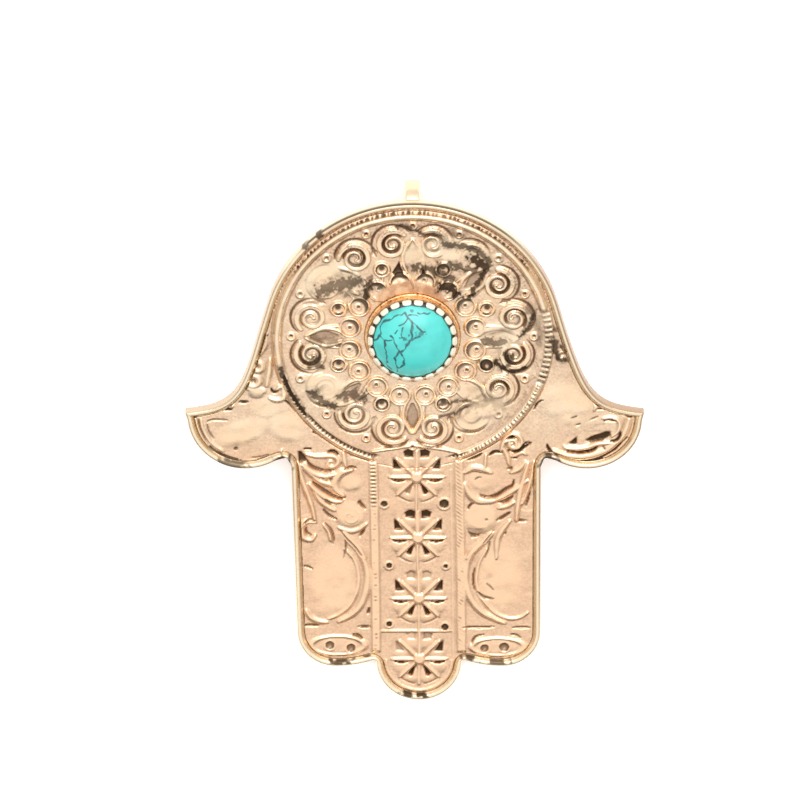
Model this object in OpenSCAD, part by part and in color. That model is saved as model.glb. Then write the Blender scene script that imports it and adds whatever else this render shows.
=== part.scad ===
// Hamsa pendant: a cast metal hand with raised ornament, a toothed setting and a round stone.
// The hand is drawn flat, back face down, with the stone's centre at x = 0, y = 0 and the
// fingers towards -Y. It is then laid down as it rests: on its bail and its middle fingertip.

/* [Hand] */
// Width from thumb tip to thumb tip
hand_w = 55.2; // [53:0.2:58]
// Radius of the round top of the hand
dome_r = 18; // [17.6:0.1:18.6]
// Distance from the stone's centre down to the middle fingertip
middle_l = 48.2; // [47:0.2:51]
// Distance from the stone's centre down to the side fingertips
side_l = 43.7; // [42.8:0.1:44.6]
// Width across the three joined fingers
fingers_w = 30; // [29:0.2:31]
// Width of the middle finger
middle_w = 10.3; // [9.9:0.1:10.8]
// Distance from the stone's centre down to the thumb tips
thumb_drop = 9.95; // [9:0.05:11]
// Radius of the thumb's round lower edge
thumb_r = 6.8; // [6.4:0.1:7.2]
// Distance from the stone's centre down to the notch between thumb and fingers
notch_drop = 15.95; // [15:0.05:16.8]
// Sideways lean of the middle fingertip
lean = 0.8; // [0:0.1:1.2]

/* [Metal] */
// Thickness from the back face to the top of the rim
rim_t = 1.6; // [1.4:0.05:2]
// Thickness from the back face to the sunk field inside the rim
field_t = 1.15; // [0.9:0.05:1.3]
// Width of the raised rim
rim_w = 0.6; // [0.4:0.05:0.8]
// Step at the rim's outer top edge
rim_step = 0.15; // [0.05:0.05:0.25]
// Height of the carved strokes over the field
stroke_h = 0.35; // [0.2:0.05:0.6]
// Width of the carved strokes
stroke_w = 0.42; // [0.3:0.02:0.5]

/* [Medallion] */
// Gap between the rim and the medallion's ring
ring_gap = 0.8; // [0.6:0.05:1]
// Width of the medallion's ring
ring_w = 0.6; // [0.4:0.05:0.8]
// Height of the medallion's ring over the field
ring_h = 0.55; // [0.3:0.05:0.8]
// Number of petals round the stone
petals = 8; // [6:1:9]
// Radius of the eye circles round the stone
eye_r = 1.3; // [1:0.05:1.45]
// Radius of the hollow beads between the petals
bead_r = 0.95; // [0.6:0.05:1.1]
// Radius of the small beads outside the scrolls
dot_r = 0.4; // [0.25:0.05:0.5]

/* [Middle finger] */
// Number of rosettes
rosettes = 4; // [3:1:4]
// Radius of a rosette
rosette_r = 3.6; // [3:0.1:3.8]
// Radius of a rosette's hub
hub_r = 0.75; // [0.5:0.05:1]
// Distance from the stone's centre down to the first rosette
first_drop = 18.6; // [18:0.1:20]
// Distance from the last rosette's centre to the fingertip
last_gap = 5.4; // [5:0.1:6.5]
// Width of the notched ridge on each side of the middle finger
ridge_w = 1.0; // [0.7:0.05:1.2]
// Spacing of the notches along the ridge
notch_pitch = 1.05; // [0.8:0.05:2]

/* [Setting] */
// Diameter of the stone
stone_d = 10; // [8:0.1:11]
// Height of the stone's straight edge
girdle_h = 1.0; // [0.6:0.05:1.6]
// Height of the stone's dome over its straight edge
dome_h = 2.2; // [1.4:0.05:3]
// Gap between the stone's edge and the wall round it
stone_gap = 0.05; // [0.03:0.01:0.12]
// Thickness of the setting's wall
wall_t = 0.5; // [0.4:0.05:0.7]
// Thickness of the setting's floor
floor_t = 0.4; // [0.3:0.05:0.6]
// Width of the setting's foot outside its wall
foot_w = 0.15; // [0.1:0.05:0.3]
// Height of the foot over the field
foot_h = 0.3; // [0.2:0.05:0.4]
// Depth of the round seat in the hand
seat_depth = 0.35; // [0.2:0.05:0.5]
// Gap between the setting and the wall of its seat
seat_gap = 0.05; // [0.03:0.01:0.15]
// Number of teeth round the stone
teeth = 22; // [16:1:28]
// Gap between two teeth
tooth_gap = 0.35; // [0.2:0.05:0.5]
// Reach of the teeth over the stone
tooth_reach = 0.42; // [0.2:0.02:0.5]

/* [Bail] */
// Diameter of the hole that a cord or chain passes through
bail_hole_d = 3.8; // [3:0.1:4.6]
// Thickness of the bail's metal
bail_t = 1.1; // [0.8:0.05:1.5]
// Width of the bail along its hole
bail_w = 1.8; // [1.2:0.1:3]
// Depth that the bail is sunk into the back of the hand
bail_sink = 0.6; // [0.4:0.05:0.8]
// Distance from the top of the hand down to the bail's centre
bail_drop = 1.8; // [1.2:0.1:4]

/* [Hidden] */

// Depth that raised shapes are rooted below the field, so that they join it
root = 0.2;
// Height of a cut that passes right through what lies above it
cut_h = 4;
// How far the dome's centre lies below the stone's centre
dome_sink = 0.45;
// Angle above the horizontal where the dome runs into the hand's sides
dome_end = 16;
// Lengths of the handles of the curve from the dome to the thumb tip
flare_top = 12;
flare_tip = 7;
// Place of the thumb's arc: in from the tip, and down from it
thumb_in = 7.1;
thumb_down = 0.65;
// The notch's small chamfer, across and down, and the least width that the thumb's arc leaves it
notch_in = 0.5;
notch_down = 1.2;
notch_run = 1.3;
// Angle between the thumb's arc and the level line where the arc ends
thumb_turn = 57;
// Half the fingers' taper from the notch to the tips
finger_taper = 0.35;
// Distance from the stone's centre down to the band at the medallion's foot
foot_drop = 14.5;
// Radii of the side fingertips: outer corner, and the shallow arc to the middle finger
corner_r = 4.6;
web_r = 14;

dome_top = dome_r - dome_sink;
half_w = fingers_w / 2;
tip_x = half_w - finger_taper;
corner_x = tip_x - corner_r;
half_mid = middle_w / 2;
web_angle = asin((corner_x - half_mid) / web_r);
thumb_c = [hand_w / 2 - thumb_in, -thumb_drop - thumb_down];
thumb_run = thumb_c[0] - half_w - notch_in - notch_run;
thumb_end = acos(min(cos(thumb_turn), thumb_run / thumb_r)) - 180;
field_z = field_t;
// Thickness of a tooth's tip, width of its sloped top, and height of the wall over the girdle
tooth_lip = 0.35;
tooth_slope = 0.2;
wall_over = 0.3;

function lean_at(y) = y < 0 ? lean * sin(90 * min(1, -y / middle_l)) : 0;
function leaned(p) = [for (q = p) [q[0] + lean_at(q[1]), q[1]]];
function mirrored(p) = [for (q = p) [-q[0], q[1]]];
function reversed(p) = [for (i = [len(p) - 1:-1:0]) p[i]];
function polar(r, a) = r * [cos(a), sin(a)];
function arc(c, r, a0, a1, n) = [for (i = [0:n]) c + polar(r, a0 + (a1 - a0) * i / n)];
function bezier(a, b, c, d, n) = [
    for (i = [1:n - 1]) let (t = i / n, s = 1 - t)
        s * s * s * a + 3 * s * s * t * b + 3 * s * t * t * c + t * t * t * d
];

// The hand's outline: the dome, the flare to the thumb, the thumb, and the fingers.
flare_a = [0, -dome_sink] + polar(dome_r, dome_end);
flare_b = flare_a + flare_top * [sin(dome_end), -cos(dome_end)];
thumb_tip = [hand_w / 2, -thumb_drop];
flare_c = thumb_tip + [-flare_tip, thumb_down];
right_edge = concat(
    arc([0, -dome_sink], dome_r, 90, dome_end, 18),
    bezier(flare_a, flare_b, flare_c, thumb_tip, 14),
    [thumb_tip],
    arc(thumb_c, thumb_r, -4, thumb_end, 16),
    [[half_w + notch_in, -notch_drop], [half_w, -notch_drop - notch_down]],
    arc([corner_x, -side_l + corner_r], corner_r, 0, -90, 9),
    [for (i = [1:5]) [corner_x, -side_l + web_r] + polar(web_r, -90 - web_angle * i / 5)],
    arc([0, -middle_l + half_mid], half_mid, 0, -90, 8)
);
left_edge = reversed(mirrored([for (i = [1:len(right_edge) - 2]) right_edge[i]]));
outline = leaned(concat(right_edge, left_edge));

// A closed outline moved inwards by d, its corners mitred.
function unit(v) = v / norm(v);
function inward(a, b) = let (d = unit(b - a)) [d[1], -d[0]];
function inset(p, d) = let (n = len(p)) [
    for (i = [0:n - 1])
        let (m = inward(p[(i + n - 1) % n], p[i]), k = inward(p[i], p[(i + 1) % n]))
            p[i] + d * (m + k) / (1 + m * k)
];

// A smooth curve through a few chosen points, k steps from one point to the next.
function between(a, b, c, d, t) = 0.5 * (2 * b + (c - a) * t
    + (2 * a - 5 * b + 4 * c - d) * t * t + (3 * b - a - 3 * c + d) * t * t * t);
function smooth(p, k = 3) = let (e = len(p) - 1) concat(
    [for (i = [0:e - 1]) for (j = [0:k - 1])
        between(p[max(0, i - 1)], p[i], p[i + 1], p[min(e, i + 2)], j / k)],
    [p[e]]
);

// The closed band of width w along a path, its ends narrowed to the given share.
function along(p, i) = unit(p[min(len(p) - 1, i + 1)] - p[max(0, i - 1)]);
function half_width(w, end, i, n) = w / 2 * (end + (1 - end) * sqrt(sin(180 * i / n)));
function one_side(p, w, end, side) = [
    for (i = [0:len(p) - 1])
        let (d = along(p, i), h = side * half_width(w, end, i, len(p) - 1))
            p[i] + h * [-d[1], d[0]]
];
function band(p, w, end = 0.4) = concat(one_side(p, w, end, 1), reversed(one_side(p, w, end, -1)));

// A shape raised over the field.
module raised(h) {
    translate([0, 0, field_z - root]) linear_extrude(h + root) children();
}

module stroke(p, w = stroke_w, h = stroke_h, end = 0.4) {
    raised(h) polygon(band(p, w, end));
}

module ring(r, w, h, n = 48) {
    raised(h) difference() {
        circle(r = r, $fn = n);
        circle(r = r - w, $fn = n);
    }
}

module bead(r, h) {
    raised(h) circle(r = r, $fn = 24);
}

// The medallion: its ring, and its pattern between the setting and the ring.
seat_r = stone_d / 2 + stone_gap + wall_t + foot_w + seat_gap;
ring_r = dome_r - rim_w - ring_gap;
ring_in = ring_r - ring_w;
sector = 360 / petals;

// Radii of the pattern's rows, as shares of the band between seat and ring.
eye_share = 0.21;
bead_share = 0.41;
scroll_share = 0.645;
dot_share = 0.86;
// Rows: share of that band outwards, then distance from the petal's middle as a share of it.
petal_side = [[0.27, 0.06], [0.36, 0.1], [0.48, 0.11], [0.6, 0.06], [0.69, 0.012]];
tear_side = [[0.34, 0.012], [0.42, 0.04], [0.5, 0.045], [0.58, 0.012]];
scroll_r = 2.0;
scroll_end_r = 0.35;
scroll_turn = 600;

function row(share) = seat_r + share * (ring_in - seat_r);
function flank(rows) = [for (q = rows) [row(q[0]), q[1] * (ring_in - seat_r)]];
function leaf(p) = concat(p, reversed([for (q = p) [q[0], -q[1]]]));

// One scroll, wound inwards from beside the petal's point and round past the valley.
function scroll_path(n) = [
    for (i = [0:n])
        let (t = i / n, r = scroll_r + (scroll_end_r - scroll_r) * t, a = scroll_turn * t - 60)
            polar(row(scroll_share), sector / 4) + polar(r, a + sector / 4)
];

module half_sector() {
    stroke(smooth(flank(petal_side)));
    stroke(scroll_path(26), h = stroke_h + 0.03);
    rotate(sector / 4) translate([row(eye_share), 0]) {
        ring(eye_r, stroke_w * 0.8, stroke_h + 0.06, 32);
        bead(eye_r * 0.3, stroke_h);
    }
}

// The ring follows the dome and stops at the middle finger's ridges, where a flat band closes it.
module medallion_ring() {
    difference() {
        translate([0, -dome_sink]) ring(ring_r, ring_w, ring_h, 96);
        translate([-half_mid, -2 * ring_r, 0]) cube([2 * half_mid, 2 * ring_r, cut_h]);
    }
    swing = asin(half_mid / ring_r);
    centre = [lean_at(-foot_drop), -foot_drop - ring_r];
    stroke(arc(centre, ring_r, 90 - swing, 90 + swing, 12));
}

module medallion() {
    medallion_ring();
    for (k = [0:petals - 1]) rotate(90 + sector * k) {
        half_sector();
        mirror([0, 1]) half_sector();
        raised(stroke_h) polygon(leaf(smooth(flank(tear_side))));
        translate([row(dot_share), 0]) bead(dot_r, stroke_h);
        rotate(sector / 2) {
            translate([row(bead_share), 0]) ring(bead_r, bead_r * 0.4, stroke_h, 32);
            translate([row(dot_share), 0]) bead(dot_r, stroke_h);
        }
    }
}

// The middle finger: notched side ridges and a column of rosettes.
last_drop = middle_l - last_gap;
rosette_step = (last_drop - first_drop) / (rosettes - 1);

module rosette() {
    bead(hub_r, stroke_h + 0.1);
    for (k = [0:7]) rotate(45 * k) {
        translate([0, -stroke_w * 0.4]) raised(stroke_h)
            square([rosette_r, stroke_w * 0.8]);
        stroke(smooth([
            polar(rosette_r * 0.94, 3), polar(rosette_r, 12), polar(rosette_r, 33),
            polar(rosette_r * 0.94, 42)
        ]), stroke_w, stroke_h + 0.04);
    }
}

ridge_top = notch_drop + 0.3;
ridge_end = side_l - 1.6;
ridge_x = half_mid;

module notched_ridge(side) {
    n = floor((ridge_end - ridge_top) / notch_pitch);
    path = [for (i = [0:12]) let (y = -ridge_top - (ridge_end - ridge_top) * i / 12)
        [side * ridge_x + lean_at(y), y]];
    difference() {
        stroke(path, ridge_w, stroke_h + 0.08, 0.8);
        for (i = [0:n]) let (y = -ridge_top - notch_pitch * (i + 0.5))
            translate([side * ridge_x + lean_at(y), y, field_z + stroke_h])
                cube([ridge_w * 0.62, notch_pitch * 0.35, stroke_h], center = true);
    }
}

module middle_finger() {
    for (k = [0:rosettes - 1])
        let (y = -first_drop - k * rosette_step)
            translate([lean_at(y), y]) rosette();
    notched_ridge(-1);
    notched_ridge(1);
    tip_r = half_mid - rim_w - 0.5;
    stroke(leaned(arc([0, -middle_l + half_mid], tip_r, -18, -162, 12)));
}

// A side finger's panel: points are percent across from the ridge and percent down.
panel_x = ridge_x + ridge_w / 2 + 0.1;
panel_w = half_w - rim_w - panel_x;
panel_y = notch_drop + 0.35;
panel_h = side_l - rim_w - panel_y;
function panel(p) = [for (q = p) [panel_x + q[0] * panel_w / 100, -panel_y - q[1] * panel_h / 100]];

top_scroll = [[88, -2], [79, 1], [71, 4], [59, 5], [47, 4], [40, 2], [43, -1], [50, -2], [55, 1]];
leaf_ribs = [
    [[88, 3], [79, 6], [69, 8], [58, 9], [48, 8]],
    [[89, 6], [76, 10], [64, 13], [53, 15], [42, 16]],
    [[84, 12], [72, 15], [60, 19], [50, 20], [42, 20]],
    [[79, 18], [70, 21], [61, 24], [52, 25]]
];
stem = [[97, -1], [94, 8], [87, 16], [80, 23], [75, 27], [73, 31]];
hook = [[72, 32], [80, 30], [89, 31], [95, 35], [93, 39], [84, 41], [77, 38], [83, 35]];
fork_out = [[62, 32], [54, 36], [50, 40], [50, 45]];
pear_edge = [[44, 34], [28, 41], [16, 48], [8, 55], [5, 61], [8, 67], [15, 72], [30, 77], [49, 80]];
pear_rib = [[38, 45], [22, 52], [15, 60], [18, 67], [30, 73], [48, 76]];
pear_heel = [[88, 73], [83, 78], [70, 80]];
cuff_y = 83;
curl_at = [26, 12];
curl_r = 1.65;
boss_at = [24, 28];
boss_r = 1.8;
oval_at = [45, 91.5];
oval_r = 3;
oval_hole_x = 1.2;
oval_hole_r = 0.5;

module on_panel(share, side) {
    p = panel([share])[0];
    translate([side * p[0] + lean_at(p[1]), p[1]]) children();
}

module panel_stroke(rows, side, w = stroke_w, h = stroke_h) {
    p = smooth(panel(rows));
    stroke(leaned(side > 0 ? p : mirrored(p)), w, h);
}

module side_finger(side) {
    panel_stroke(top_scroll, side);
    for (rib = leaf_ribs) panel_stroke(rib, side, stroke_w * 1.25, stroke_h - 0.04);
    panel_stroke(stem, side, stroke_w * 1.2, stroke_h + 0.04);
    panel_stroke(hook, side);
    panel_stroke(fork_out, side, h = stroke_h - 0.04);
    panel_stroke(pear_edge, side, stroke_w * 1.3, stroke_h + 0.02);
    panel_stroke(pear_rib, side, h = stroke_h - 0.06);
    panel_stroke(pear_heel, side, h = stroke_h - 0.06);
    panel_stroke([[2, cuff_y], [30, cuff_y], [70, cuff_y], [97, cuff_y]], side, h = stroke_h - 0.02);
    on_panel(curl_at, side) ring(curl_r, stroke_w, stroke_h + 0.02, 32);
    on_panel(boss_at, side) bead(boss_r, stroke_h + 0.05);
    on_panel(oval_at, side) difference() {
        raised(stroke_h - 0.01) polygon([for (p = arc([0, 0], oval_r, 0, 345, 23)) [p[0], p[1] / 2]]);
        for (s = [-1, 1]) translate([s * oval_hole_x, 0, field_z])
            cylinder(r = oval_hole_r, h = cut_h, $fn = 24);
    }
}

// A thumb: points are degrees round its arc's centre and percent of its radius.
function curled(p, side) = [
    for (q = p) let (c = thumb_c + polar(thumb_r * q[1] / 100, q[0])) [side * c[0], c[1]]
];
thumb_ridge = [[3, 86], [-20, 85], [-44, 85], [-64, 85], [-84, 85], [-102, 86], [-120, 86], [-136, 84]];
thumb_rib = [[2, 74], [-20, 72], [-44, 71], [-66, 72], [-88, 73], [-110, 73], [-132, 72], [-144, 64]];
thumb_bean = [[-8, 58], [-34, 52], [-62, 53], [-90, 55], [-114, 56], [-132, 52]];
thumb_slit = [[39, 26], [20, 45], [10, 62]];

module thumb(side) {
    for (rows = [thumb_ridge, thumb_rib, thumb_bean, thumb_slit])
        stroke(leaned(curled(smooth(rows), side)), h = stroke_h - 0.02);
}

// A shoulder: points are degrees round the stone, and percent of the way out from the dome's
// side towards the thumb tip; a curl's third number is its radius as percent of that way.
shoulder_strip = [[3, -6], [-3, -4], [-8, 6]];
shoulder_spike = [[[-10, -8], [-14, -4], [-18, 2]], [[-11, -11], [-16, -11], [-20, -11]]];
shoulder_curls = [[-12, 9.5, 7], [-17.5, 22, 9.5], [-24, 0, 8]];
shoulder_w = hand_w / 2 - dome_r;

function on_shoulder(q) = polar(dome_r + shoulder_w * q[1] / 100, q[0]);

module shoulder(side) {
    for (rows = concat([shoulder_strip], shoulder_spike)) {
        p = [for (q = smooth(rows)) on_shoulder(q)];
        stroke(leaned(side > 0 ? p : mirrored(p)), h = stroke_h - 0.03);
    }
    for (curl = shoulder_curls) {
        p = on_shoulder(curl);
        translate([side * p[0] + lean_at(p[1]), p[1]])
            ring(shoulder_w * curl[2] / 100, stroke_w * 0.8, stroke_h, 32);
    }
}

// The bail: a round loop behind the top edge, its hole running from side to side.
bail_r = bail_hole_d / 2 + bail_t;
bail_y = dome_top - bail_drop;
bail_z = -bail_r + bail_sink;

module bail_solid() {
    translate([-bail_w / 2, bail_y, bail_z]) rotate([0, 90, 0])
        cylinder(r = bail_r, h = bail_w, $fn = 64);
}

module bail_bore() {
    translate([-bail_w, bail_y, bail_z]) rotate([0, 90, 0])
        cylinder(r = bail_hole_d / 2, h = 2 * bail_w, $fn = 64);
}

// How the pendant rests: on its bail and on the back edge of its middle fingertip.
rest_run = bail_y + middle_l;
rest_tilt = atan2(-bail_z, rest_run) + asin(bail_r / norm([rest_run, bail_z]));
rest_x = -lean_at(-thumb_drop);
rest_z = middle_l * sin(rest_tilt);
high_y = bail_y * cos(rest_tilt) - bail_z * sin(rest_tilt) + bail_r;
low_y = -middle_l * cos(rest_tilt) - (rim_t - rim_step) * sin(rest_tilt);
rest_y = -(high_y + low_y) / 2;

module at_rest() {
    translate([rest_x, rest_y, rest_z]) rotate([rest_tilt, 0, 0]) children();
}

module plate() {
    linear_extrude(field_z) polygon(outline);
    translate([0, 0, field_z - root]) linear_extrude(rim_t - rim_step - field_z + root) difference() {
        polygon(outline);
        polygon(inset(outline, rim_w));
    }
    translate([0, 0, rim_t - rim_step - root]) linear_extrude(rim_step + root) difference() {
        polygon(inset(outline, rim_step));
        polygon(inset(outline, rim_w));
    }
}

module ornament() {
    medallion();
    middle_finger();
    for (side = [-1, 1]) {
        side_finger(side);
        thumb(side);
        shoulder(side);
    }
}

module hand_plate() {
    color("#e3bf95") at_rest() difference() {
        union() {
            plate();
            bail_solid();
            ornament();
        }
        translate([0, 0, field_z - seat_depth]) cylinder(r = seat_r, h = cut_h, $fn = 96);
        bail_bore();
    }
}

// The setting: a cup with a foot, a straight wall and teeth bent in over the stone.
cup_z = field_z - seat_depth;
cup_in = stone_d / 2 + stone_gap;
cup_out = cup_in + wall_t;
girdle_z = cup_z + floor_t + girdle_h;
dome_ball_r = (pow(stone_d / 2, 2) + pow(dome_h, 2)) / (2 * dome_h);
ball_z = girdle_z + dome_h - dome_ball_r;
function dome_z(r) = ball_z + sqrt(pow(dome_ball_r, 2) - r * r);
lip_r = stone_d / 2 - tooth_reach;
cup_profile = [
    [0, cup_z], [cup_out + foot_w, cup_z], [cup_out + foot_w, field_z + foot_h],
    [cup_out, field_z + foot_h], [cup_out, girdle_z + wall_over],
    [lip_r + tooth_slope, dome_z(lip_r) + tooth_lip + stone_gap],
    [lip_r, dome_z(lip_r) + tooth_lip / 3 + stone_gap],
    [lip_r, dome_z(lip_r) + stone_gap], [cup_in, girdle_z + stone_gap],
    [cup_in, cup_z + floor_t], [0, cup_z + floor_t]
];

module serrated_bezel() {
    color("#e0a878") at_rest() difference() {
        rotate_extrude($fn = 96) polygon(cup_profile);
        for (k = [0:teeth - 1]) rotate(360 * (k + 0.5) / teeth)
            translate([lip_r / 2, -tooth_gap / 2, girdle_z - wall_over / 3])
                cube([cup_out, tooth_gap, cut_h]);
    }
}

// The stone: a round, domed cabochon with a flat back.
module cabochon() {
    color("#40d8d0") at_rest() {
        intersection() {
            translate([0, 0, ball_z]) sphere(r = dome_ball_r, $fn = 96);
            translate([0, 0, cup_z + floor_t]) cylinder(d = stone_d, h = girdle_h + cut_h, $fn = 96);
        }
    }
}

hand_plate();
serrated_bezel();
cabochon();
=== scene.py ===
"""A cast hamsa pendant: a metal hand with raised ornament, a toothed setting and a turquoise stone.

Everything is drawn in millimetres on the flat hand, its back at z = 0 and the stone's centre at
x = 0, y = 0 with the fingers towards -Y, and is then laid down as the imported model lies.
"""

import math

import bpy
import numpy as np
from mathutils import Matrix, Vector
from mathutils.geometry import delaunay_2d_cdt


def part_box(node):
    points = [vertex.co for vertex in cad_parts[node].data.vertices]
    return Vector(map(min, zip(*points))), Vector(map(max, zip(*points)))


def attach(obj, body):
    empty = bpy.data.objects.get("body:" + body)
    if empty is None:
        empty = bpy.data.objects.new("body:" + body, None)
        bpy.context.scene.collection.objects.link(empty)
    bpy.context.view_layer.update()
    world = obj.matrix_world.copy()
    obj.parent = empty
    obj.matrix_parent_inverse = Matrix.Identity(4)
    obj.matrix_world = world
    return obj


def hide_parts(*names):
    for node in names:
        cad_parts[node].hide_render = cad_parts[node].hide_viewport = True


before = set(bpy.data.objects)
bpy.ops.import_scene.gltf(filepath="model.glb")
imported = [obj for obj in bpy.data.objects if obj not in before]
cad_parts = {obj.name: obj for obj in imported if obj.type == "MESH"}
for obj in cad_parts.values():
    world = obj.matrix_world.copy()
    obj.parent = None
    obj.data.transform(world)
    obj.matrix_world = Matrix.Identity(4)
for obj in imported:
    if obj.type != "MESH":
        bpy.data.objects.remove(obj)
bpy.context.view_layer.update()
rng = np.random.default_rng(7)
MM = 0.001

# Sizes of the hand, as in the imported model.
HAND_W = 55.2
DOME_R = 18.0
DOME_SINK = 0.45
DOME_END = 16
FLARE_TOP = 12.0
FLARE_TIP = 7.0
MIDDLE_L = 48.2
SIDE_L = 43.7
FINGERS_W = 30.0
MIDDLE_W = 10.3
THUMB_DROP = 9.95
THUMB_R = 6.8
THUMB_IN = 7.1
THUMB_DOWN = 0.65
THUMB_TURN = -123
NOTCH_DROP = 15.95
NOTCH_IN = 0.5
NOTCH_DOWN = 1.2
FINGER_TAPER = 0.35
CORNER_R = 4.6
WEB_R = 14.0
LEAN = 0.8
RIM_T = 1.6
RIM_W = 0.6
FIELD_Z = 1.15
STROKE_H = 0.35
STROKE_W = 0.42

# Sizes of the medallion and of the fingers.
RING_GAP = 0.8
RING_W = 0.6
RING_H = 0.5
PETALS = 8
SECTOR = 360 / PETALS
EYE_R = 1.3
BEAD_R = 0.95
DOT_R = 0.4
ROSETTES = 4
ROSETTE_R = 3.6
HUB_R = 0.75
FIRST_DROP = 18.6
LAST_GAP = 5.4
RIDGE_W = 1.0

# Sizes of the setting, the stone and the bail.
STONE_R = 5.0
GIRDLE_H = 1.0
DOME_H = 2.2
STONE_GAP = 0.05
WALL_T = 0.5
FLOOR_T = 0.4
FOOT_W = 0.15
FOOT_H = 0.3
SEAT_DEPTH = 0.35
SEAT_GAP = 0.05
TEETH = 22
TOOTH_GAP = 0.34
TOOTH_REACH = 0.42
BAIL_HOLE_R = 1.9
BAIL_T = 1.1
BAIL_W = 1.8
BAIL_SINK = 0.6
BAIL_DROP = 1.8

# Roundings of the foot, the bail's edges and its hole, half the thickness of a tooth, the number of
# steps round each piece, and the radius that stands for the axis.
FOOT_BEAD = 0.16
BAIL_SOFT = 0.28
HOLE_SOFT = 0.12
TOOTH_T = 0.2
BAIL_STEPS = 96
CUP_STEPS = 176
STONE_ROWS = 110
STONE_COLUMNS = 420
AXIS_R = 0.02

CUP_IN = STONE_R + STONE_GAP
CUP_OUT = CUP_IN + WALL_T
FOOT_R = CUP_OUT + FOOT_W
SEAT_R = FOOT_R + SEAT_GAP
DOME_TOP = DOME_R - DOME_SINK
RING_R = DOME_R - RIM_W - RING_GAP
RING_IN = RING_R - RING_W
HALF_W = FINGERS_W / 2
HALF_MID = MIDDLE_W / 2
CUP_Z = FIELD_Z - SEAT_DEPTH
GIRDLE_Z = CUP_Z + FLOOR_T + GIRDLE_H
WALL_TOP = GIRDLE_Z + 0.12
BAIL_R = BAIL_HOLE_R + BAIL_T
BAIL_Y = DOME_TOP - BAIL_DROP
BAIL_Z = BAIL_SINK - BAIL_R
BALL_R = (STONE_R ** 2 + DOME_H ** 2) / (2 * DOME_H)
BALL_Z = GIRDLE_Z + DOME_H - BALL_R

# How it lies: on the bail and on the back edge of the middle fingertip.
REST_RUN = BAIL_Y + MIDDLE_L
REST_TILT = math.atan2(-BAIL_Z, REST_RUN) + math.asin(BAIL_R / math.hypot(REST_RUN, BAIL_Z))

# Spacing of the meshes' points: the hand's grid, how many steps it stays clear of its edges and the
# distance that stands for far from them, the outline, the points in the flat faces, and the
# medallion, whose ends overlap by some columns when it is blurred.
GRID_STEP = 0.12
GRID_CLEAR = 0.6
FAR_OFF = 9.0
EDGE_STEP = 0.21
HOLE_STEPS = 500
HOLE_SPREAD = 2.0
BACK_SPREAD = 1.6
MEDAL_ROWS = 108
MEDAL_COLUMNS = 860
WRAP = 12

# Where the medallion's mesh ends over the hand's round hole, and how far the two drop there.
MEDAL_R = 17.05
MEDAL_FALL = 0.22
MEDAL_FLOOR = 0.75
HOLE_R = 16.6
HOLE_SLOPE = (16.93, 17.03)
HOLE_STEP = 0.17
HOLE_FLOOR = 0.8

# The relief's limits below the field, and the height of its dents and swell.
MEDAL_DEEPEST = 0.32
HAND_DEEPEST = 0.42
DENT_H = 0.055
SWELL_H = 0.013

# How deep a recess lies that gets full painted shade, and how far round it the height is averaged, in steps.
RECESS_DEPTH = 0.18
MEDAL_BLUR = 3.2
HAND_BLUR = 3.0


def sin(degrees):
    return math.sin(math.radians(degrees))


def cos(degrees):
    return math.cos(math.radians(degrees))


def lean_at(y):
    """Sideways lean of the hand at a height y, in millimetres."""
    down = -np.asarray(y)
    return np.where(down > 0, LEAN * np.sin(np.pi / 2 * np.clip(down / MIDDLE_L, 0, 1)), 0.0)


def leaned(points):
    """The points moved sideways with the hand's lean."""
    points = np.array(points, float)
    return np.column_stack([points[:, 0] + lean_at(points[:, 1]), points[:, 1]])


def polar(radius, angle):
    """A point at a distance and in a direction from 0, 0."""
    return np.array([radius * cos(angle), radius * sin(angle)])


def arc(centre, radius, start, end, steps):
    """Points on an arc between two directions in degrees."""
    return [np.array(centre) + polar(radius, start + (end - start) * i / steps) for i in range(steps + 1)]


def smooth(points, steps=6):
    """A smooth curve through a few chosen points."""
    p = np.array(points, float)
    last = len(p) - 1
    out = []
    for i in range(last):
        a, b, c, d = p[max(0, i - 1)], p[i], p[i + 1], p[min(last, i + 2)]
        for j in range(steps):
            t = j / steps
            out.append(0.5 * (2 * b + (c - a) * t + (2 * a - 5 * b + 4 * c - d) * t * t
                              + (3 * b - a - 3 * c + d) * t ** 3))
    out.append(p[last])
    return np.array(out)


def turned(points, angle):
    """The points turned about 0, 0 by an angle in degrees."""
    points = np.array(points, float)
    c, s = cos(angle), sin(angle)
    return np.column_stack([points[:, 0] * c - points[:, 1] * s, points[:, 0] * s + points[:, 1] * c])


def flipped(points, side):
    """The points, mirrored from side to side where side is -1."""
    return np.array(points, float) * [side, 1]


def ease(value, low, high):
    """0 below low and 1 above high, smooth between them."""
    t = np.clip((np.asarray(value, float) - low) / (high - low), 0, 1)
    return t * t * (3 - 2 * t)


def in_mm(path, units=10):
    """Points in millimetres of a path that is listed as x, y, x, y ... in units, so many to 1 mm."""
    return np.array(path, float).reshape(-1, 2) / units


def lift(values, level, index=...):
    """Raise values, all or the chosen ones, to at least a level."""
    values[index] = np.maximum(values[index], level)


def about_dome(points):
    """Each point's distance from the dome's centre, and its direction in degrees."""
    x, y = (points - DOME_C).T
    return np.hypot(x, y), np.degrees(np.arctan2(y, x))


def rest_matrix():
    """From millimetres on the flat hand to metres in the frame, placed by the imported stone's box."""
    matrix = Matrix.Rotation(REST_TILT, 4, "X") @ Matrix.Scale(MM, 4)
    low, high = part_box("cabochon")
    stone_top = matrix @ Vector((0, STONE_R, GIRDLE_Z))
    stone_foot = matrix @ Vector((0, -STONE_R, CUP_Z + FLOOR_T))
    return Matrix.Translation(((low.x + high.x) / 2,
                               (low.y + high.y - stone_top.y - stone_foot.y) / 2,
                               MIDDLE_L * math.sin(REST_TILT) * MM)) @ matrix


REST = rest_matrix()


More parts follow.
